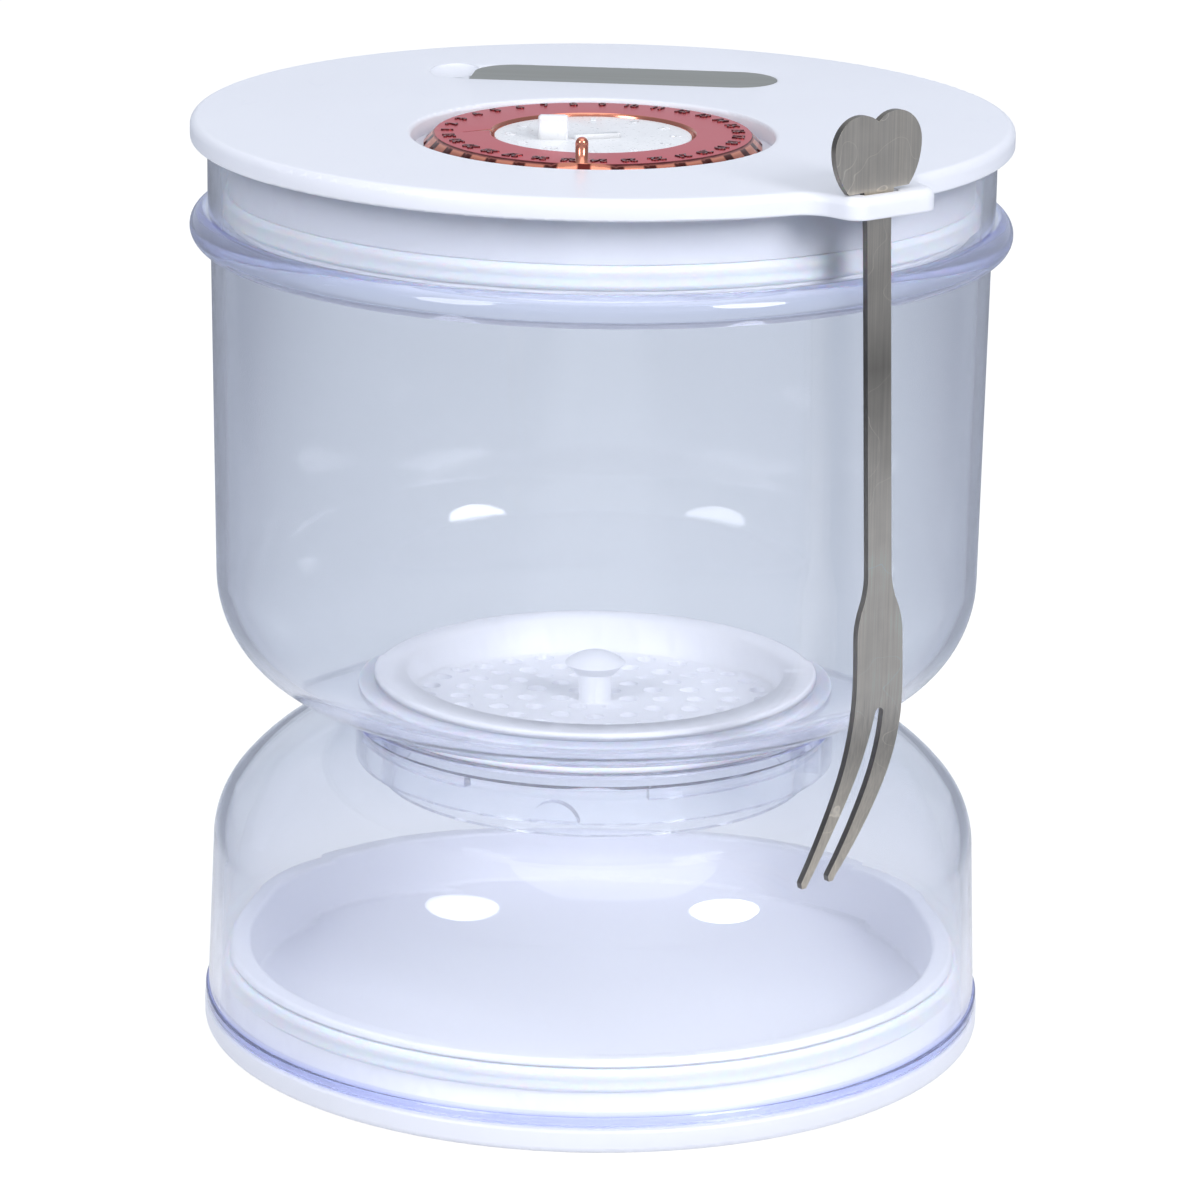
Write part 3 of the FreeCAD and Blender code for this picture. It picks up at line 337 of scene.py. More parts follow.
def new_group(name, inputs, outputs):
    """An empty shader node group with float inputs and float outputs."""
    tree = bpy.data.node_groups.new(name, "ShaderNodeTree")
    for key, value in inputs.items():
        kind = "NodeSocketVector" if isinstance(value, tuple) else "NodeSocketFloat"
        socket = tree.interface.new_socket(name=key, in_out="INPUT", socket_type=kind)
        socket.default_value = value
    for key in outputs:
        tree.interface.new_socket(name=key, in_out="OUTPUT", socket_type="NodeSocketFloat")
    start = tree.nodes.new("NodeGroupInput")
    end = tree.nodes.new("NodeGroupOutput")
    return tree, start, end


SCRATCH_WIDTH = 0.004
BAND_SCALE = 0.15


def make_moulded_skin():
    """Clouds, grain and a few fine scratches, each from 0 to 1."""
    tree, start, end = new_group(
        "moulded_skin",
        {"Clouds per metre": 30.0, "Grain per metre": 1500.0, "Scratches per metre": 60.0},
        ("Clouds", "Grain", "Scratches"))
    place = tree.nodes.new("ShaderNodeTexCoord").outputs["Object"]
    clouds = node(tree, "ShaderNodeTexNoise", Vector=place, Detail=3.0,
                  Scale=start.outputs["Clouds per metre"])
    grain = node(tree, "ShaderNodeTexNoise", Vector=place, Detail=2.0,
                 Scale=start.outputs["Grain per metre"])
    drift = node(tree, "ShaderNodeTexNoise", Vector=place, Detail=1.0,
                 Scale=start.outputs["Scratches per metre"])
    away = maths(tree, "ABSOLUTE", maths(tree, "SUBTRACT", drift.outputs[0], 0.5))
    line = node(tree, "ShaderNodeMapRange", Value=away)
    line.inputs["From Min"].default_value = 0.0
    line.inputs["From Max"].default_value = SCRATCH_WIDTH
    line.inputs["To Min"].default_value = 1.0
    line.inputs["To Max"].default_value = 0.0
    tree.links.new(clouds.outputs[0], end.inputs["Clouds"])
    tree.links.new(grain.outputs[0], end.inputs["Grain"])
    tree.links.new(line.outputs["Result"], end.inputs["Scratches"])
    return tree


def make_drawn_grain():
    """Long fine streaks, from 0 to 1. Stretch is how the pattern is scaled along each axis."""
    tree, start, end = new_group(
        "drawn_grain", {"Turn": (0.0, 0.0, 0.0), "Stretch": (1.0, 1.0, 1.0)},
        ("Streaks", "Bands"))
    place = tree.nodes.new("ShaderNodeTexCoord").outputs["Object"]
    laid = tree.nodes.new("ShaderNodeMapping")
    tree.links.new(place, laid.inputs["Vector"])
    tree.links.new(start.outputs["Turn"], laid.inputs["Rotation"])
    drawn = node(tree, "ShaderNodeVectorMath")
    drawn.operation = "MULTIPLY"
    tree.links.new(laid.outputs[0], drawn.inputs[0])
    tree.links.new(start.outputs["Stretch"], drawn.inputs[1])
    streaks = node(tree, "ShaderNodeTexNoise", Vector=drawn.outputs[0], Scale=1.0, Detail=4.0)
    bands = node(tree, "ShaderNodeTexNoise", Vector=drawn.outputs[0], Scale=BAND_SCALE,
                 Detail=2.0)
    tree.links.new(streaks.outputs[0], end.inputs["Streaks"])
    tree.links.new(bands.outputs[0], end.inputs["Bands"])
    return tree


MOULDED_SKIN = make_moulded_skin()
DRAWN_GRAIN = make_drawn_grain()


def place_group(tree, group, **inputs):
    """Places a group in a material, with its inputs set by name."""
    made = tree.nodes.new("ShaderNodeGroup")
    made.node_tree = group
    for key, value in inputs.items():
        made.inputs[key.replace("_", " ")].default_value = value
    return made


def bump(tree, shader, height, depth_mm, strength=1.0):
    """Raises the surface by a height map, at most by a depth in millimetres."""
    made = node(tree, "ShaderNodeBump", Strength=strength, Distance=depth_mm * MM)
    tree.links.new(height, made.inputs["Height"])
    tree.links.new(made.outputs["Normal"], shader.inputs["Normal"])


print("groups:", [group.name for group in bpy.data.node_groups])

# %% [markdown]
# White moulded plastic. The lids are polypropylene with a half gloss. Its white is cool, it lets
# a little light in, and its skin is never quite even, so clouds vary the tone by a hair and a
# grain roughens it. Subsurface light softens the shade in the wells and under the rims.

# %% White plastics
SUBSURFACE_SHARE = 0.25
LIGHT_REACH = 2.0 * MM
MOULDED_INDEX = 1.49
GLOSS_BELOW = 0.04
GLOSS_ABOVE = 0.06
SCRATCH_ROUGHNESS = 0.12


def white_plastic(name, light, dark, gloss, depth_mm):
    """A white moulded plastic between two close tones."""
    material, tree, shader = new_material(
        name, Subsurface_Weight=SUBSURFACE_SHARE, Subsurface_Scale=LIGHT_REACH,
        IOR=MOULDED_INDEX)
    shader.inputs["Subsurface Radius"].default_value = (1.0, 1.0, 1.0)
    skin = place_group(tree, MOULDED_SKIN)
    tone = blend_colour(tree, skin.outputs["Clouds"], dark, light)
    tree.links.new(tone, shader.inputs["Base Color"])
    rough = spread(tree, skin.outputs["Grain"], gloss - GLOSS_BELOW, gloss + GLOSS_ABOVE)
    scratched = maths(tree, "MULTIPLY", skin.outputs["Scratches"], SCRATCH_ROUGHNESS)
    tree.links.new(maths(tree, "ADD", rough, scratched), shader.inputs["Roughness"])
    bump(tree, shader, skin.outputs["Grain"], depth_mm)
    return material


lid_white = white_plastic("lid_white", (0.82, 0.835, 0.9), (0.79, 0.8, 0.87), 0.3, 0.01)
dial_white = white_plastic("dial_white", (0.85, 0.86, 0.88), (0.82, 0.83, 0.86), 0.28, 0.008)
sieve_white = white_plastic("sieve_white", (0.83, 0.84, 0.88), (0.8, 0.81, 0.86), 0.38, 0.015)
print("white plastics:", lid_white.name, dial_white.name, sieve_white.name)

# %% [markdown]
# The seals are milky silicone. It is softer and duller than the lids, and light goes deeper
# into it, so it gets more subsurface and a higher roughness.

# %% Silicone
SEAL_DARK = (0.74, 0.76, 0.82)
SEAL_LIGHT = (0.8, 0.82, 0.88)


def make_silicone():
    """Milky silicone, soft and dull."""
    material, tree, shader = new_material(
        "milky_silicone", Subsurface_Weight=0.6, Subsurface_Scale=3.0 * MM, IOR=1.41)
    skin = place_group(tree, MOULDED_SKIN, Grain_per_metre=900.0)
    tone = blend_colour(tree, skin.outputs["Clouds"], SEAL_DARK, SEAL_LIGHT)
    tree.links.new(tone, shader.inputs["Base Color"])
    tree.links.new(spread(tree, skin.outputs["Grain"], 0.4, 0.55), shader.inputs["Roughness"])
    bump(tree, shader, skin.outputs["Grain"], 0.02)
    return material


silicone = make_silicone()
print("silicone:", silicone.name)

# %% [markdown]
# Clear plastic is glass with a lower index and a faint blue tint. The walls are real shells with
# an inside and an outside, so the edges and the beads turn bluer where light goes far through the
# plastic, as they do on the real jar. On top of that the flange and the foot bead are painted a
# bluer colour, most at the flange's top: painted light for the light-blue edges of the real jar.
# The flange also gets a faint painted glow, though it is no lamp. Rays from lamps pass straight
# through as a tint, because following them through every wall would take far too long, and the
# lids inside would look unlit.

# %% Clear plastic
CLEARNESS = 0.93
CLEAR_INDEX = 1.49
CLEAR_TINT = (0.97, 0.98, 0.99)
CLEAR_LIGHT = (0.98, 0.99, 1.0)
CLEAR_ROUGHNESS = 0.03
SHADE_TINT = (0.99, 0.992, 1.0, 1.0)
NO_GLOW = (0.0, 0.0, 0.0)
FLANGE_MIDDLE = JAR_TOP - 19.4 * MM
FLANGE_HALF = 2.9 * MM
FLANGE_ROOT = 70.0 * MM
FOOT_EDGE = 6.9 * MM
MASK_EDGE = 0.3 * MM
FLANGE_FADE = 2.2
# Painted light: the foot bead and the flange are coloured bluer for the light-blue edge light, and
# the flange gets a faint painted glow.
FOOT_PAINTED_LIGHT = (0.62, 0.66, 0.90)
RIM_PAINTED_LIGHT = (0.72, 0.78, 0.95)
RIM_PAINTED_GLOW = (0.06, 0.065, 0.10)
RIM_FROST = 0.05
DEPTH_TINT = (0.42, 0.50, 0.95, 1.0)
DEPTH_PER_METRE = 20.0


def thick_rims(tree):
    """Two masks: up to 1 on the flange, most at its top, and 1 on the foot bead, for the painted
    edge light and glow.
    """
    place = tree.nodes.new("ShaderNodeTexCoord").outputs["Object"]
    parts = node(tree, "ShaderNodeSeparateXYZ", Vector=place).outputs
    reach = distance(tree, parts["X"], parts["Y"])
    out = step_mask(tree, reach, FLANGE_ROOT, FLANGE_ROOT + MASK_EDGE)
    beside = maths(tree, "ABSOLUTE", maths(tree, "SUBTRACT", parts["Z"], FLANGE_MIDDLE))
    level = step_mask(tree, beside, FLANGE_HALF + MASK_EDGE, FLANGE_HALF)
    rising = step_mask(tree, parts["Z"], FLANGE_MIDDLE - 2 * FLANGE_HALF,
                       FLANGE_MIDDLE + FLANGE_HALF)
    band = maths(tree, "MULTIPLY", level, maths(tree, "POWER", rising, FLANGE_FADE))
    foot = step_mask(tree, parts["Z"], FOOT_EDGE + MASK_EDGE, FOOT_EDGE)
    return maths(tree, "MULTIPLY", out, band), foot


def make_clear_plastic():
    """Clear plastic that turns bluer with depth, with painted edge light at the flange and the
    foot, and a painted glow at the flange.
    """
    material, tree, shader = new_material(
        "clear_plastic", Transmission_Weight=CLEARNESS, IOR=CLEAR_INDEX)
    skin = place_group(tree, MOULDED_SKIN, Clouds_per_metre=18.0, Grain_per_metre=500.0)
    rim_light_and_frost, foot = thick_rims(tree)
    wall = blend_colour(tree, skin.outputs["Clouds"], CLEAR_TINT, CLEAR_LIGHT)
    # Painted edge light: the flange and the foot bead are coloured bluer.
    tint = tint_over(tree, tint_over(tree, wall, rim_light_and_frost, RIM_PAINTED_LIGHT), foot, FOOT_PAINTED_LIGHT)
    tree.links.new(tint, shader.inputs["Base Color"])
    # Painted glow: the flange gives off a faint light of its own.
    glow = blend_colour(tree, rim_light_and_frost, NO_GLOW, RIM_PAINTED_GLOW)
    tree.links.new(glow, shader.inputs["Emission Color"])
    shader.inputs["Emission Strength"].default_value = 1.0
    rough = spread(tree, skin.outputs["Clouds"], 0.0, CLEAR_ROUGHNESS)
    frosted = maths(tree, "ADD", rough, maths(tree, "MULTIPLY", rim_light_and_frost, RIM_FROST))
    tree.links.new(frosted, shader.inputs["Roughness"])
    path = tree.nodes.new("ShaderNodeLightPath")
    through = node(tree, "ShaderNodeBsdfTransparent", Color=SHADE_TINT)
    mixed = mix_shaders(tree, path.outputs["Is Shadow Ray"], shader.outputs[0], through.outputs[0])
    end = tree.nodes["Material Output"]
    tree.links.new(mixed, end.inputs["Surface"])
    depth = node(tree, "ShaderNodeVolumeAbsorption", Color=DEPTH_TINT, Density=DEPTH_PER_METRE)
    tree.links.new(depth.outputs[0], end.inputs["Volume"])
    return material


clear_plastic = make_clear_plastic()
print("clear plastic:", clear_plastic.name)

# %% [markdown]
# Metals. The dial ring is plastic with a rose-gold plating, satin on top and glossier on its edge.
# Its edge is painted a lighter copper than its top, a painted highlight, and the flutes of its edge
# are painted near black, a painted shade and reflection; its index line is coloured near black too.
# The plate is brushed steel. The fork is stamped from rolled steel, with streaks along its length;
# its cut edges are painted far darker than its faces, a painted shade. A long thin piece mirrors
# another part of the room at each height, so the fork's tone changes along it: that tone is painted
# into its colour by height, a painted reflection.

# %% Metals
ROSE_TOP = (0.75, 0.18, 0.205)
# Painted highlight: the edge is coloured a lighter copper than the top.
ROSE_EDGE_GLINT = (0.80, 0.30, 0.20)
# Painted shade and reflection in the flutes; the same near black colours the index line.
ROSE_FLUTE_SHADE_AND_INDEX = (0.10, 0.018, 0.015)
DIAL_LOW, DIAL_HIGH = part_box("date_ring")
DIAL_MIDDLE = (DIAL_LOW + DIAL_HIGH) / 2
FLUTES = 31
FLUTE_EDGES = (0.1, 0.5)
INDEX_DEPTH = 0.08 * MM
RING_BORE = 17.6 * MM
RING_CORNER = 27.4 * MM
LEVEL_EDGES = (0.9, 0.99)
POLISH = 0.26
# Painted shade: the day numbers are coloured far darker than the plating they are made of.
NUMBER_SHADE_DARK = (0.10, 0.025, 0.03)
NUMBER_SHADE_LIGHT = (0.30, 0.09, 0.09)
PLATE_FACE = (0.365, 0.365, 0.335)
PLATE_STREAK = 0.12
PLATE_STRETCH = (60.0, 3000.0, 3000.0)
PLATE_TURN = (0.0, 0.0, math.radians(6))
FORK_FACE = (0.76, 0.69, 0.58)
# Painted shade: the fork's sides are coloured far darker than its faces, beyond the dullness of cut
# steel.
FORK_SIDE_SHADE = (0.22, 0.205, 0.18)
# Painted reflection: the fork's tone along its height, as the room that it mirrors gives it.
FORK_PAINTED_REFLECTION_TONES = ((0.0, 0.80), (0.19, 0.82), (0.25, 1.27), (0.39, 1.30), (0.52, 1.15), (0.60, 0.80),
              (0.68, 0.52), (0.76, 0.74), (0.845, 0.86), (0.9, 1.0))
FORK_REFLECTION_TONE_MOST = 1.5
FORK_TURN = math.radians(37.0)
FORK_FACE_EDGES = (0.5, 0.9)
FORK_STRETCH = (2500.0, 2500.0, 45.0)
SCRATCH_BRIGHT = 0.35


def hollows(tree, place):
    """Two masks: 1 in the flutes round the dial ring, where painted shade and reflection go, and 1
    in its index line.
    """
    parts = node(tree, "ShaderNodeSeparateXYZ", Vector=place).outputs
    across = maths(tree, "SUBTRACT", parts["X"], DIAL_MIDDLE.x)
    along = maths(tree, "SUBTRACT", parts["Y"], DIAL_MIDDLE.y)
    angle = maths(tree, "ARCTAN2", along, across)
    wave = maths(tree, "COSINE", maths(tree, "MULTIPLY", FLUTES, angle))
    reach = distance(tree, across, along)
    outer = step_mask(tree, reach, RING_CORNER, RING_CORNER + MASK_EDGE / 2)
    flutes = maths(tree, "MULTIPLY", step_mask(tree, wave, *FLUTE_EDGES), outer)
    sunk = step_mask(tree, parts["Z"], JAR_TOP - INDEX_DEPTH / 2, JAR_TOP - INDEX_DEPTH)
    past_bore = step_mask(tree, reach, RING_BORE, RING_BORE + MASK_EDGE)
    return flutes, maths(tree, "MULTIPLY", sunk, past_bore)


def make_rose_plating():
    """Rose-gold plating: satin on level faces, glossier and painted lighter on the edge, painted
    dark in the flutes, and a near-black index line.
    """
    material, tree, shader = new_material("rose_plating", Metallic=1.0)
    skin = place_group(tree, MOULDED_SKIN, Clouds_per_metre=80.0, Grain_per_metre=2500.0)
    texture = tree.nodes.new("ShaderNodeTexCoord").outputs
    facing = node(tree, "ShaderNodeSeparateXYZ", Vector=texture["Normal"])
    level = step_mask(tree, facing.outputs["Z"], *LEVEL_EDGES)
    side = maths(tree, "SUBTRACT", 1.0, level)
    flutes, index = hollows(tree, texture["Object"])
    # Painted shade and reflection on the flutes, and the near-black index line.
    dark = maths(tree, "MAXIMUM", maths(tree, "MULTIPLY", flutes, side),
                 maths(tree, "MULTIPLY", index, level))
    # Painted highlight: the edge colour is lighter than the top's.
    colour = blend_colour(tree, level, ROSE_EDGE_GLINT, ROSE_TOP)
    tree.links.new(tint_over(tree, colour, dark, ROSE_FLUTE_SHADE_AND_INDEX), shader.inputs["Base Color"])
    satin = spread(tree, skin.outputs["Clouds"], 0.36, 0.46)
    rough = maths(tree, "SUBTRACT", satin, maths(tree, "MULTIPLY", side, POLISH))
    tree.links.new(rough, shader.inputs["Roughness"])
    bump(tree, shader, skin.outputs["Grain"], 0.01, 0.5)
    return material


def make_rose_mark():
    """A far darker plating colour for the day numbers: painted shade for the shadows at their
    sides.
    """
    material, tree, shader = new_material("rose_number_shade", Metallic=1.0)
    skin = place_group(tree, MOULDED_SKIN, Clouds_per_metre=900.0, Grain_per_metre=3000.0)
    colour = blend_colour(tree, skin.outputs["Clouds"], NUMBER_SHADE_DARK, NUMBER_SHADE_LIGHT)
    tree.links.new(colour, shader.inputs["Base Color"])
    tree.links.new(spread(tree, skin.outputs["Grain"], 0.18, 0.4), shader.inputs["Roughness"])
    return material


def make_steel(name, face, streak, stretch, turn):
    """Rolled steel with streaks. Stretch and turn lay the streaks along the piece."""
    material, tree, shader = new_material(name, Metallic=1.0)
    grain = place_group(tree, DRAWN_GRAIN, Stretch=stretch, Turn=turn)
    low = tuple(part * (1.0 - streak) for part in face)
    high = tuple(part * (1.0 + streak) for part in face)
    colour = blend_colour(tree, grain.outputs["Streaks"], low, high)
    tree.links.new(colour, shader.inputs["Base Color"])
    tree.links.new(spread(tree, grain.outputs["Bands"], 0.3, 0.5), shader.inputs["Roughness"])
    bump(tree, shader, grain.outputs["Streaks"], 0.01, 0.6)
    return material


def make_fork_steel():
    """Stamped steel: satin faces with scratches, sides coloured dark as painted shade, and a
    painted reflection tone along its height.
    """
    material, tree, shader = new_material("fork_steel", Metallic=1.0)
    grain = place_group(tree, DRAWN_GRAIN, Stretch=FORK_STRETCH)
    skin = place_group(tree, MOULDED_SKIN, Clouds_per_metre=160.0, Scratches_per_metre=120.0)
    texture = tree.nodes.new("ShaderNodeTexCoord")
    facing = tree.nodes.new("ShaderNodeVectorMath")
    facing.operation = "DOT_PRODUCT"
    tree.links.new(texture.outputs["Normal"], facing.inputs[0])
    facing.inputs[1].default_value = (math.sin(FORK_TURN), -math.cos(FORK_TURN), 0.0)
    turned = maths(tree, "ABSOLUTE", facing.outputs["Value"])
    face = step_mask(tree, turned, *FORK_FACE_EDGES)
    height = node(tree, "ShaderNodeSeparateXYZ", Vector=texture.outputs["Object"]).outputs["Z"]
    low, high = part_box("fork")
    # Painted reflection: a tone by height along the fork.
    ramp = tree.nodes.new("ShaderNodeValToRGB")
    tree.links.new(step_mask(tree, height, low.z, high.z), ramp.inputs["Fac"])
    ramp.color_ramp.elements.remove(ramp.color_ramp.elements[1])
    for number, (spot, tone) in enumerate(FORK_PAINTED_REFLECTION_TONES):
        stop = ramp.color_ramp.elements.new(spot) if number else ramp.color_ramp.elements[0]
        stop.color = (*[tone / FORK_REFLECTION_TONE_MOST] * 3, 1.0)
    streak = spread(tree, grain.outputs["Streaks"], 0.75, 1.25)
    cloud = spread(tree, skin.outputs["Clouds"], 0.85, 1.15)
    tone = maths(tree, "MULTIPLY",
                 maths(tree, "MULTIPLY", ramp.outputs["Color"], FORK_REFLECTION_TONE_MOST),
                 maths(tree, "MULTIPLY", streak, cloud))
    scratches = maths(tree, "MULTIPLY", skin.outputs["Scratches"], SCRATCH_BRIGHT)
    scratched = maths(tree, "ADD", tone, scratches)
    steel = tree.nodes.new("ShaderNodeVectorMath")
    steel.operation = "SCALE"
    # Painted shade on the fork's sides.
    tree.links.new(blend_colour(tree, face, FORK_SIDE_SHADE, FORK_FACE), steel.inputs[0])
    tree.links.new(scratched, steel.inputs["Scale"])
    tree.links.new(steel.outputs[0], shader.inputs["Base Color"])
    tree.links.new(spread(tree, grain.outputs["Bands"], 0.28, 0.42), shader.inputs["Roughness"])
    bump(tree, shader, scratched, 0.012, 0.7)
    return material


rose_plating = make_rose_plating()
rose_number_shade = make_rose_mark()
plate_steel = make_steel("plate_steel", PLATE_FACE, PLATE_STREAK, PLATE_STRETCH, PLATE_TURN)
fork_steel = make_fork_steel()
print("metals:", rose_plating.name, plate_steel.name, fork_steel.name)

# %% [markdown]
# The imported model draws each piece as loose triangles, which can't be shaded smoothly. A copy
# whose doubled corners are merged can: its edges over an angle are marked sharp and the rest
# shade as one surface. The fork's stamped edges are also rounded by a hair, so they catch light.
# The copy stands for the node and rides on the same body.

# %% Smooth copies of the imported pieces
MERGE_REACH = 1e-6
SHARP_ANGLE = math.radians(28)
FLAT_ANGLE = math.radians(0.5)
EDGE_ROUNDS = {"fork": 0.18 * MM}


def smooth_copy(name, material, edge_round=0.0):
    """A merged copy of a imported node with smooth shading, in place of the node."""
    source = frame["nodes"][name]
    bm = bmesh.new()
    bm.from_mesh(source.data)
    bmesh.ops.remove_doubles(bm, verts=bm.verts, dist=MERGE_REACH)
    if edge_round:
        bmesh.ops.dissolve_limit(bm, angle_limit=FLAT_ANGLE, verts=bm.verts, edges=bm.edges)
        corners = [edge for edge in bm.edges if edge.calc_face_angle(0.0) > SHARP_ANGLE]
        bmesh.ops.bevel(bm, geom=corners, offset=edge_round, offset_type="OFFSET", segments=2,
                        profile=0.5, affect="EDGES", material=-1, clamp_overlap=True)
    mesh = bpy.data.meshes.new(name + "_finished")
    bm.to_mesh(mesh)
    bm.free()
    mesh.shade_smooth()
    mesh.set_sharp_from_angle(angle=SHARP_ANGLE)
    mesh.materials.append(material)
    piece = bpy.data.objects.new(name + "_finished", mesh)
    bpy.context.scene.collection.objects.link(piece)
    piece.modifiers.new("flat_faces_stay_flat", "WEIGHTED_NORMAL").keep_sharp = True
    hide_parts(name)
    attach(piece, source["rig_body"])
    return piece


FINISHES = {
    "base_lid": (lid_white, "lid_plastic"),
    "base_gasket": (silicone, "silicone"),
    "waist_seal": (silicone, "silicone"),
    "strainer": (sieve_white, "strainer_plastic"),
    "top_lid": (lid_white, "lid_plastic"),
    "lid_gasket": (silicone, "silicone"),
    "date_ring": (rose_plating, "rose_plating"),
    "month_disc": (dial_white, "dial_plastic"),
    "lid_plate": (plate_steel, "plate_steel"),
    "fork": (fork_steel, "fork_steel"),
}
for name, (material, slot_name) in FINISHES.items():
    piece = smooth_copy(name, material, EDGE_ROUNDS.get(name, 0.0))
    print(f"{piece.name}: {len(piece.data.polygons)} faces")

# %% [markdown]
# The clear chambers are made again for the picture. Light bends at every facet of clear plastic,
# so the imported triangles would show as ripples. Each chamber is a round moulding: its outline
# is drawn in millimetres as lines and arcs, with the same sizes as the solid, and spun round the
# axis in narrow steps. The lugs and ramps at the waist aren't round, so they are joined on after.

# %% Outlines of the chambers
WALL = 2.0
RIM_ROUND = 0.6
JAR_RADIUS = 69.4
FOOT_RADIUS = JAR_RADIUS + 1.15
FOOT_BOTTOM = 4.7
FOOT_BEAD = 0.5
FOOT_BEAD_TOP = FOOT_BOTTOM + 2.0
SHOULDER_HEIGHT = 34.4
SHOULDER_CURVE = 16.7
CROWN_CURVE = 36.7
CROWN_RISE = 24.0
CROWN_TOP = SHOULDER_HEIGHT + CROWN_RISE
SPOUT_RADIUS = 38.6
SPOUT_INSIDE = SPOUT_RADIUS - 2.2
LUG_REACH = 2.0
MOUTH_INSIDE = SPOUT_RADIUS + LUG_REACH + 0.6
MOUTH_OUTSIDE = MOUTH_INSIDE + 2.8
MOUTH_TOP = CROWN_TOP + 1.2
COLLAR_BOTTOM = MOUTH_TOP - 9.6
FLOOR_UNDER = MOUTH_TOP + 1.8
SPOUT_BOTTOM = FLOOR_UNDER - 14.9
BOWL_CURVE = 21.5
FLOOR_CURVE = 38.8
BOWL_RISE = 23.9
BOWL_TOP = FLOOR_UNDER + BOWL_RISE
UPPER_TOP_RADIUS = JAR_RADIUS - 0.2
UPPER_RADIUS = UPPER_TOP_RADIUS - 0.6
NECK_RADIUS = JAR_RADIUS + 0.3
FLANGE_HEIGHT = 5.8
FLANGE_BEAD = FLANGE_HEIGHT / 2
FLANGE_RADIUS = NECK_RADIUS + FLANGE_BEAD + 0.3
TOP_MM = JAR_TOP / MM
FLANGE_TOP = TOP_MM - 16.5
FLANGE_UNDER = FLANGE_TOP - FLANGE_HEIGHT
RIM_TOP = TOP_MM - 4.1
ARC_STEP = math.radians(4)


def trace(corners):
    """Points along a closed outline of corners. A corner with a radius ends an arc: the arc
    turns left where the radius is above zero, and right where it is below."""
    points = []
    for number, corner in enumerate(corners):
        end = Vector(corner[:2])
        if len(corner) == 3:
            start = Vector(corners[number - 1][:2])
            half = (end - start) / 2
            side = math.copysign(1.0, corner[2])
            rise = math.sqrt(max(corner[2] ** 2 - half.length_squared, 0.0))
            middle = start + half + side * rise * Vector((-half.y, half.x)).normalized()
            sweep = 2 * math.asin(min(half.length / abs(corner[2]), 1.0))
            steps = max(2, math.ceil(sweep / ARC_STEP))
            for step in range(1, steps):
                turned = Matrix.Rotation(side * sweep * step / steps, 2) @ (start - middle)
                points.append(middle + turned)
        points.append(end)
    return points


def bend(radius, side_curve, end_curve, rise):
    """Where two arcs of a wall meet, as cosine and sine, and where the second one is level."""
    low = (end_curve - rise) / (end_curve - side_curve)
    high = math.sqrt(1 - low * low)
    return high, low, radius - side_curve - (end_curve - side_curve) * high


def lower_corners():
    """The outline of the lower chamber, from its foot up the outside and down the inside."""
    high, low, level = bend(JAR_RADIUS, SHOULDER_CURVE, CROWN_CURVE, CROWN_RISE)
    across = JAR_RADIUS - SHOULDER_CURVE
    crown = CROWN_TOP - CROWN_CURVE
    collar = MOUTH_INSIDE + WALL
    inner_side = SHOULDER_CURVE - WALL
    inner_crown = CROWN_CURVE - WALL
    outer_meet = crown + math.sqrt(CROWN_CURVE ** 2 - (MOUTH_OUTSIDE - level) ** 2)
    inner_meet = crown + math.sqrt(inner_crown ** 2 - (collar - level) ** 2)
    return [
        (FOOT_RADIUS, FOOT_BOTTOM),
        (FOOT_RADIUS + FOOT_BEAD, FOOT_BOTTOM + FOOT_BEAD, FOOT_BEAD),
        (FOOT_RADIUS + FOOT_BEAD, FOOT_BEAD_TOP - FOOT_BEAD),
        (FOOT_RADIUS, FOOT_BEAD_TOP, FOOT_BEAD),
        (JAR_RADIUS, SHOULDER_HEIGHT),
        (across + SHOULDER_CURVE * high, SHOULDER_HEIGHT + SHOULDER_CURVE * low, SHOULDER_CURVE),
        (MOUTH_OUTSIDE, outer_meet, CROWN_CURVE),
        (MOUTH_OUTSIDE, MOUTH_TOP - RIM_ROUND),
        (MOUTH_OUTSIDE - RIM_ROUND, MOUTH_TOP, RIM_ROUND),
        (MOUTH_INSIDE + RIM_ROUND, MOUTH_TOP),
        (MOUTH_INSIDE, MOUTH_TOP - RIM_ROUND, RIM_ROUND),
        (MOUTH_INSIDE, COLLAR_BOTTOM),
        (collar, COLLAR_BOTTOM),
        (collar, inner_meet),
        (across + inner_side * high, SHOULDER_HEIGHT + inner_side * low, -inner_crown),
        (JAR_RADIUS - WALL, SHOULDER_HEIGHT, -inner_side),
        (FOOT_RADIUS - WALL, FOOT_BOTTOM)]


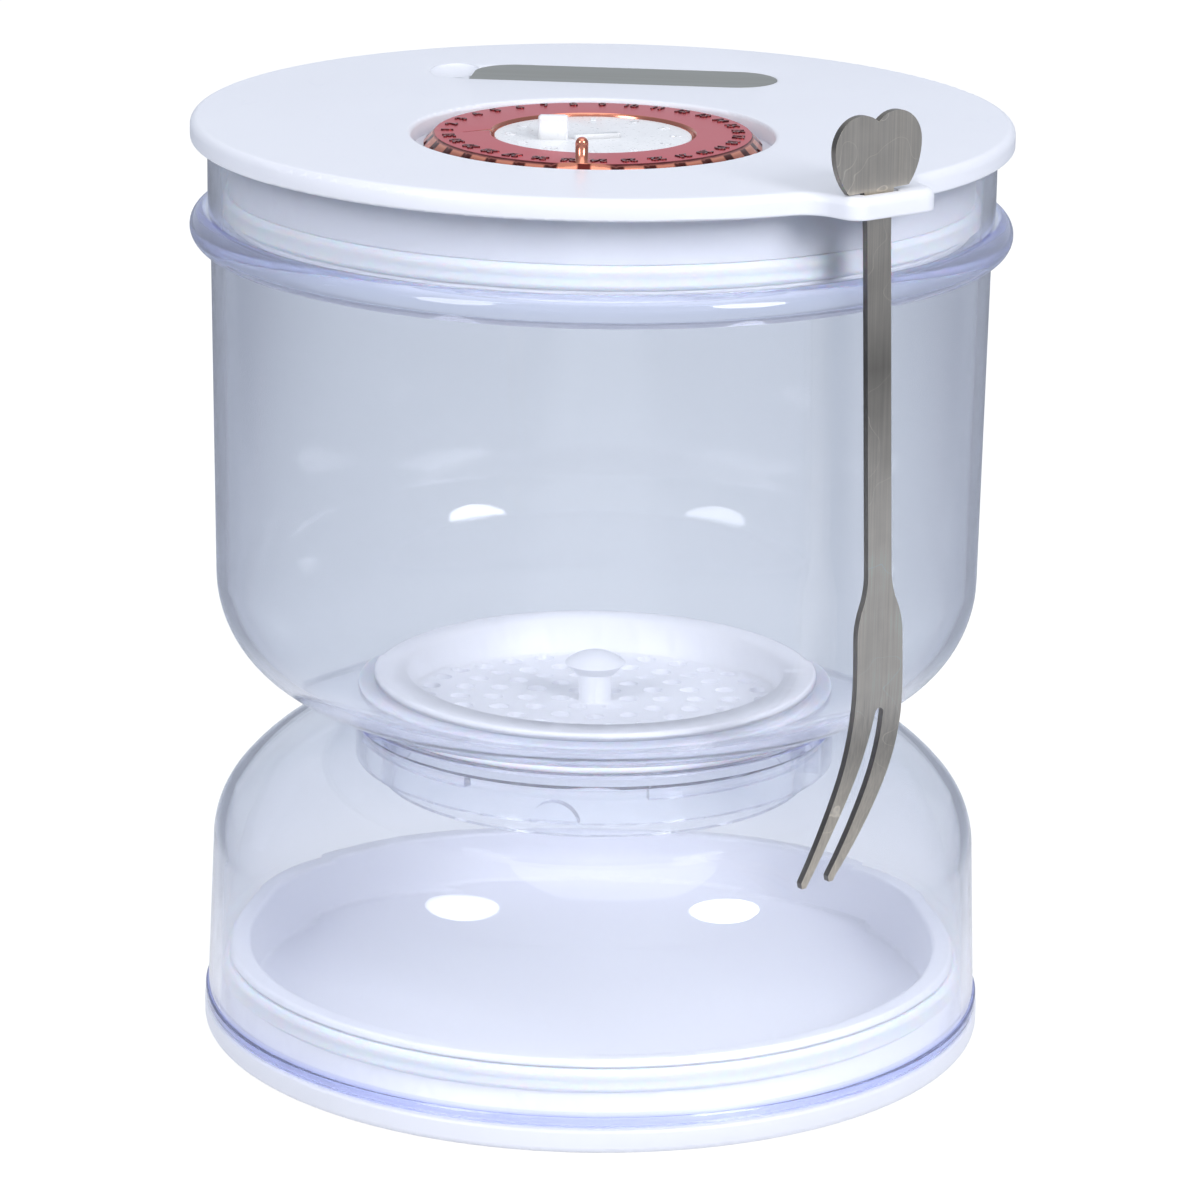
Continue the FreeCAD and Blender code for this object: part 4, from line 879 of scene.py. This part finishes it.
def upper_corners():
    """The outline of the upper chamber, from its spout up the outside and down the inside."""
    high, low, level = bend(UPPER_RADIUS, BOWL_CURVE, FLOOR_CURVE, BOWL_RISE)
    across = UPPER_RADIUS - BOWL_CURVE
    centre = FLOOR_UNDER + FLOOR_CURVE
    reach = SPOUT_RADIUS - level
    inner_floor = FLOOR_CURVE - WALL
    inner_side = BOWL_CURVE - WALL
    outer_meet = centre - math.sqrt(FLOOR_CURVE ** 2 - reach ** 2)
    inner_meet = centre - math.sqrt(inner_floor ** 2 - reach ** 2)
    neck_inside = NECK_RADIUS - WALL
    return [
        (SPOUT_RADIUS, SPOUT_BOTTOM),
        (SPOUT_RADIUS, outer_meet),
        (across + BOWL_CURVE * high, BOWL_TOP - BOWL_CURVE * low, FLOOR_CURVE),
        (UPPER_RADIUS, BOWL_TOP, BOWL_CURVE),
        (UPPER_TOP_RADIUS, FLANGE_UNDER),
        (FLANGE_RADIUS - FLANGE_BEAD, FLANGE_UNDER),
        (FLANGE_RADIUS, FLANGE_UNDER + FLANGE_BEAD, FLANGE_BEAD),
        (FLANGE_RADIUS - FLANGE_BEAD, FLANGE_TOP, FLANGE_BEAD),
        (NECK_RADIUS, FLANGE_TOP),
        (NECK_RADIUS, RIM_TOP - RIM_ROUND),
        (NECK_RADIUS - RIM_ROUND, RIM_TOP, RIM_ROUND),
        (neck_inside + RIM_ROUND, RIM_TOP),
        (neck_inside, RIM_TOP - RIM_ROUND, RIM_ROUND),
        (neck_inside, FLANGE_TOP),
        (UPPER_TOP_RADIUS - WALL, FLANGE_UNDER),
        (UPPER_RADIUS - WALL, BOWL_TOP),
        (across + inner_side * high, BOWL_TOP - inner_side * low, -inner_side),
        (SPOUT_RADIUS, inner_meet, -inner_floor),
        (SPOUT_INSIDE + RIM_ROUND, inner_meet),
        (SPOUT_INSIDE, inner_meet - RIM_ROUND, RIM_ROUND),
        (SPOUT_INSIDE, SPOUT_BOTTOM)]


print(f"outlines of {len(trace(lower_corners()))} and {len(trace(upper_corners()))} points")

# %% Spin the chambers and join the lugs
SPIN_STEPS = 192
LUGS = 4
LUG_TURN = -9.6
LUG_HALF = 4.3
LUG_RISE = 1.7
LUG_MIDDLE = FLOOR_UNDER - 10.0
LUG_ROOT = SPOUT_INSIDE + 1.0
RAMP_SPAN = 44.0
RAMP_STEPS = 24
RAMP_HEIGHT = 1.8
RAMP_TOP = LUG_MIDDLE + LUG_RISE + 0.6 + RAMP_HEIGHT
RAMP_INSIDE = SPOUT_RADIUS + 0.6
RAMP_ROOT = MOUTH_INSIDE + 1.0


def spin_outline(bm, points, first, span, steps):
    """Spins a closed outline of (radius, height) points, in millimetres, about the axis."""
    start = Matrix.Rotation(math.radians(first), 3, "Z")
    verts = [bm.verts.new(start @ Vector((point.x, 0.0, point.y)) * MM) for point in points]
    edges = [bm.edges.new((verts[number - 1], vert)) for number, vert in enumerate(verts)]
    whole = span == 360.0
    if not whole:
        bm.faces.new(verts)
    made = bmesh.ops.spin(
        bm, geom=verts + edges, cent=(0, 0, 0), axis=(0, 0, 1), dvec=(0, 0, 0),
        angle=math.radians(span), steps=steps, use_merge=whole)
    if not whole:
        bmesh.ops.contextual_create(bm, geom=[
            part for part in made["geom_last"] if isinstance(part, bmesh.types.BMEdge)])


def finish_mesh(bm, name, material):
    """Merges doubled corners, turns the faces outwards and makes the piece."""
    bmesh.ops.remove_doubles(bm, verts=bm.verts, dist=MERGE_REACH)
    bmesh.ops.recalc_face_normals(bm, faces=bm.faces)
    mesh = bpy.data.meshes.new(name)
    bm.to_mesh(mesh)
    bm.free()
    mesh.materials.append(material)
    piece = bpy.data.objects.new(name, mesh)
    bpy.context.scene.collection.objects.link(piece)
    return piece


def make_lugs():
    """Four half-round lugs that stand out from the spout."""
    bm = bmesh.new()
    bow = (LUG_HALF ** 2 + 4 * LUG_RISE ** 2) / (4 * LUG_RISE)
    outline = trace([(LUG_HALF, -LUG_RISE), (0.0, LUG_RISE, bow), (-LUG_HALF, -LUG_RISE, bow)])
    length = (SPOUT_RADIUS + LUG_REACH - LUG_ROOT) * MM
    for number in range(LUGS):
        turn = Matrix.Rotation(math.radians(LUG_TURN + number * 360 / LUGS), 3, "Z")
        root = bm.faces.new([bm.verts.new(turn @ Vector((
            point.x, -LUG_ROOT, LUG_MIDDLE + point.y)) * MM) for point in outline])
        pulled = bmesh.ops.extrude_face_region(bm, geom=[root])["geom"]
        ends = [part for part in pulled if isinstance(part, bmesh.types.BMVert)]
        bmesh.ops.translate(bm, verts=ends, vec=turn @ Vector((0.0, -length, 0.0)))
    return finish_mesh(bm, "lugs", clear_plastic)


def make_ramps():
    """Four ramps inside the mouth, between which the lugs turn in."""
    bm = bmesh.new()
    under = RAMP_TOP - RAMP_HEIGHT
    outline = [Vector((RAMP_INSIDE, under)), Vector((RAMP_ROOT, under)),
               Vector((RAMP_ROOT, RAMP_TOP)), Vector((RAMP_INSIDE, RAMP_TOP))]
    for number in range(LUGS):
        middle = LUG_TURN + 180 / LUGS + number * 360 / LUGS
        spin_outline(bm, outline, middle - RAMP_SPAN / 2, RAMP_SPAN, RAMP_STEPS)
    return finish_mesh(bm, "ramps", clear_plastic)


def make_chamber(name, corners, details, body):
    """Spins a chamber, joins its details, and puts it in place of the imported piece."""
    bm = bmesh.new()
    spin_outline(bm, trace(corners), 0.0, 360.0, SPIN_STEPS)
    piece = finish_mesh(bm, name + "_spun", clear_plastic)
    join = piece.modifiers.new("join", "BOOLEAN")
    join.operation = "UNION"
    join.solver = "EXACT"
    join.object = details
    depsgraph = bpy.context.evaluated_depsgraph_get()
    joined = bpy.data.meshes.new_from_object(piece.evaluated_get(depsgraph))
    piece.modifiers.clear()
    piece.data = joined
    bpy.data.objects.remove(details)
    joined.shade_smooth()
    joined.set_sharp_from_angle(angle=SHARP_ANGLE)
    piece.modifiers.new("flat_faces_stay_flat", "WEIGHTED_NORMAL").keep_sharp = True
    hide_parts(name)
    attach(piece, body)
    print(f"{piece.name}: {len(joined.polygons)} faces")
    return piece


make_chamber("lower_chamber", lower_corners(), make_ramps(), "lower")
make_chamber("upper_chamber", upper_corners(), make_lugs(), "upper")

# %% [markdown]
# The numbers on the dial. On the real dial they stand a hair proud of the plating, and the small
# shadows at their sides are what makes them readable. The day numbers are also coloured far darker
# than the plating: painted shade for those shadows. Each number is a short text that is turned
# into a mesh, and only then laid out round the dial. The days have their tops outward on the
# ring, and the months are white on white, so they show only as faint relief.

# %% Day and month numbers
DAYS = 31
FIRST_DAY_ANGLE = 179.5
DAY_REACH = 25.2 * MM
DAY_HEIGHT = 2.1 * MM
DAY_RISE = 0.3 * MM
DAY_LEVEL = JAR_TOP + 0.05 * MM
MONTHS = 12
FIRST_MONTH_ANGLE = 150.0
MONTH_REACH = 14.2 * MM
MONTH_HEIGHT = 1.9 * MM
MONTH_RISE = 0.2 * MM
MONTH_LEVEL = JAR_TOP - 0.47 * MM
DIGIT_SHARE = 0.7
DIGIT_SPACE = 0.95
BEVEL_SHARE = 0.2


def number_mesh(text, height, rise):
    """A number as a solid mesh, lying flat, with its middle at the origin."""
    curve = bpy.data.curves.new("number", "FONT")
    curve.body = text
    curve.size = height / DIGIT_SHARE
    curve.align_x = "CENTER"
    curve.align_y = "CENTER"
    curve.space_character = DIGIT_SPACE
    curve.extrude = rise / 2
    curve.bevel_depth = rise * BEVEL_SHARE
    curve.resolution_u = 3
    holder = bpy.data.objects.new("number", curve)
    bpy.context.scene.collection.objects.link(holder)
    mesh = bpy.data.meshes.new_from_object(holder)
    bpy.data.objects.remove(holder)
    bpy.data.curves.remove(curve)
    return mesh


def number_round(name, count, first_angle, reach, height, rise, level, material, body):
    """Lays the numbers from 1 to count clockwise round the middle of the dial, in one mesh."""
    bm = bmesh.new()
    for number in range(1, count + 1):
        mesh = number_mesh(str(number), height, rise)
        angle = math.radians(first_angle - (number - 1) * 360.0 / count)
        spot = Vector((DIAL_MIDDLE.x + reach * math.cos(angle),
                       DIAL_MIDDLE.y + reach * math.sin(angle), level))
        turn = Matrix.Rotation(angle - math.pi / 2, 4, "Z")
        mesh.transform(Matrix.Translation(spot) @ turn)
        bm.from_mesh(mesh)
        bpy.data.meshes.remove(mesh)
    mesh = bpy.data.meshes.new(name)
    bm.to_mesh(mesh)
    bm.free()
    mesh.materials.append(material)
    piece = bpy.data.objects.new(name, mesh)
    bpy.context.scene.collection.objects.link(piece)
    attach(piece, body)
    return piece


days = number_round("day_numbers", DAYS, FIRST_DAY_ANGLE, DAY_REACH, DAY_HEIGHT, DAY_RISE,
                    DAY_LEVEL, rose_number_shade, "date_ring")
months = number_round("month_numbers", MONTHS, FIRST_MONTH_ANGLE, MONTH_REACH, MONTH_HEIGHT,
                      MONTH_RISE, MONTH_LEVEL, dial_white, "month_disc")
print(f"{len(days.data.polygons)} faces of day numbers, {len(months.data.polygons)} of months")

# %% [markdown]
# Last come the settings that the whole picture shares. The view transform is Standard, so a
# colour shows as it was mixed, and light may cross many clear walls before it is given up.

# %% Finish
WALL_CROSSINGS = 32
scene = bpy.context.scene
scene.view_settings.view_transform = "Standard"
scene.cycles.max_bounces = WALL_CROSSINGS
scene.cycles.transmission_bounces = WALL_CROSSINGS
scene.cycles.glossy_bounces = WALL_CROSSINGS
scene.cycles.transparent_max_bounces = WALL_CROSSINGS
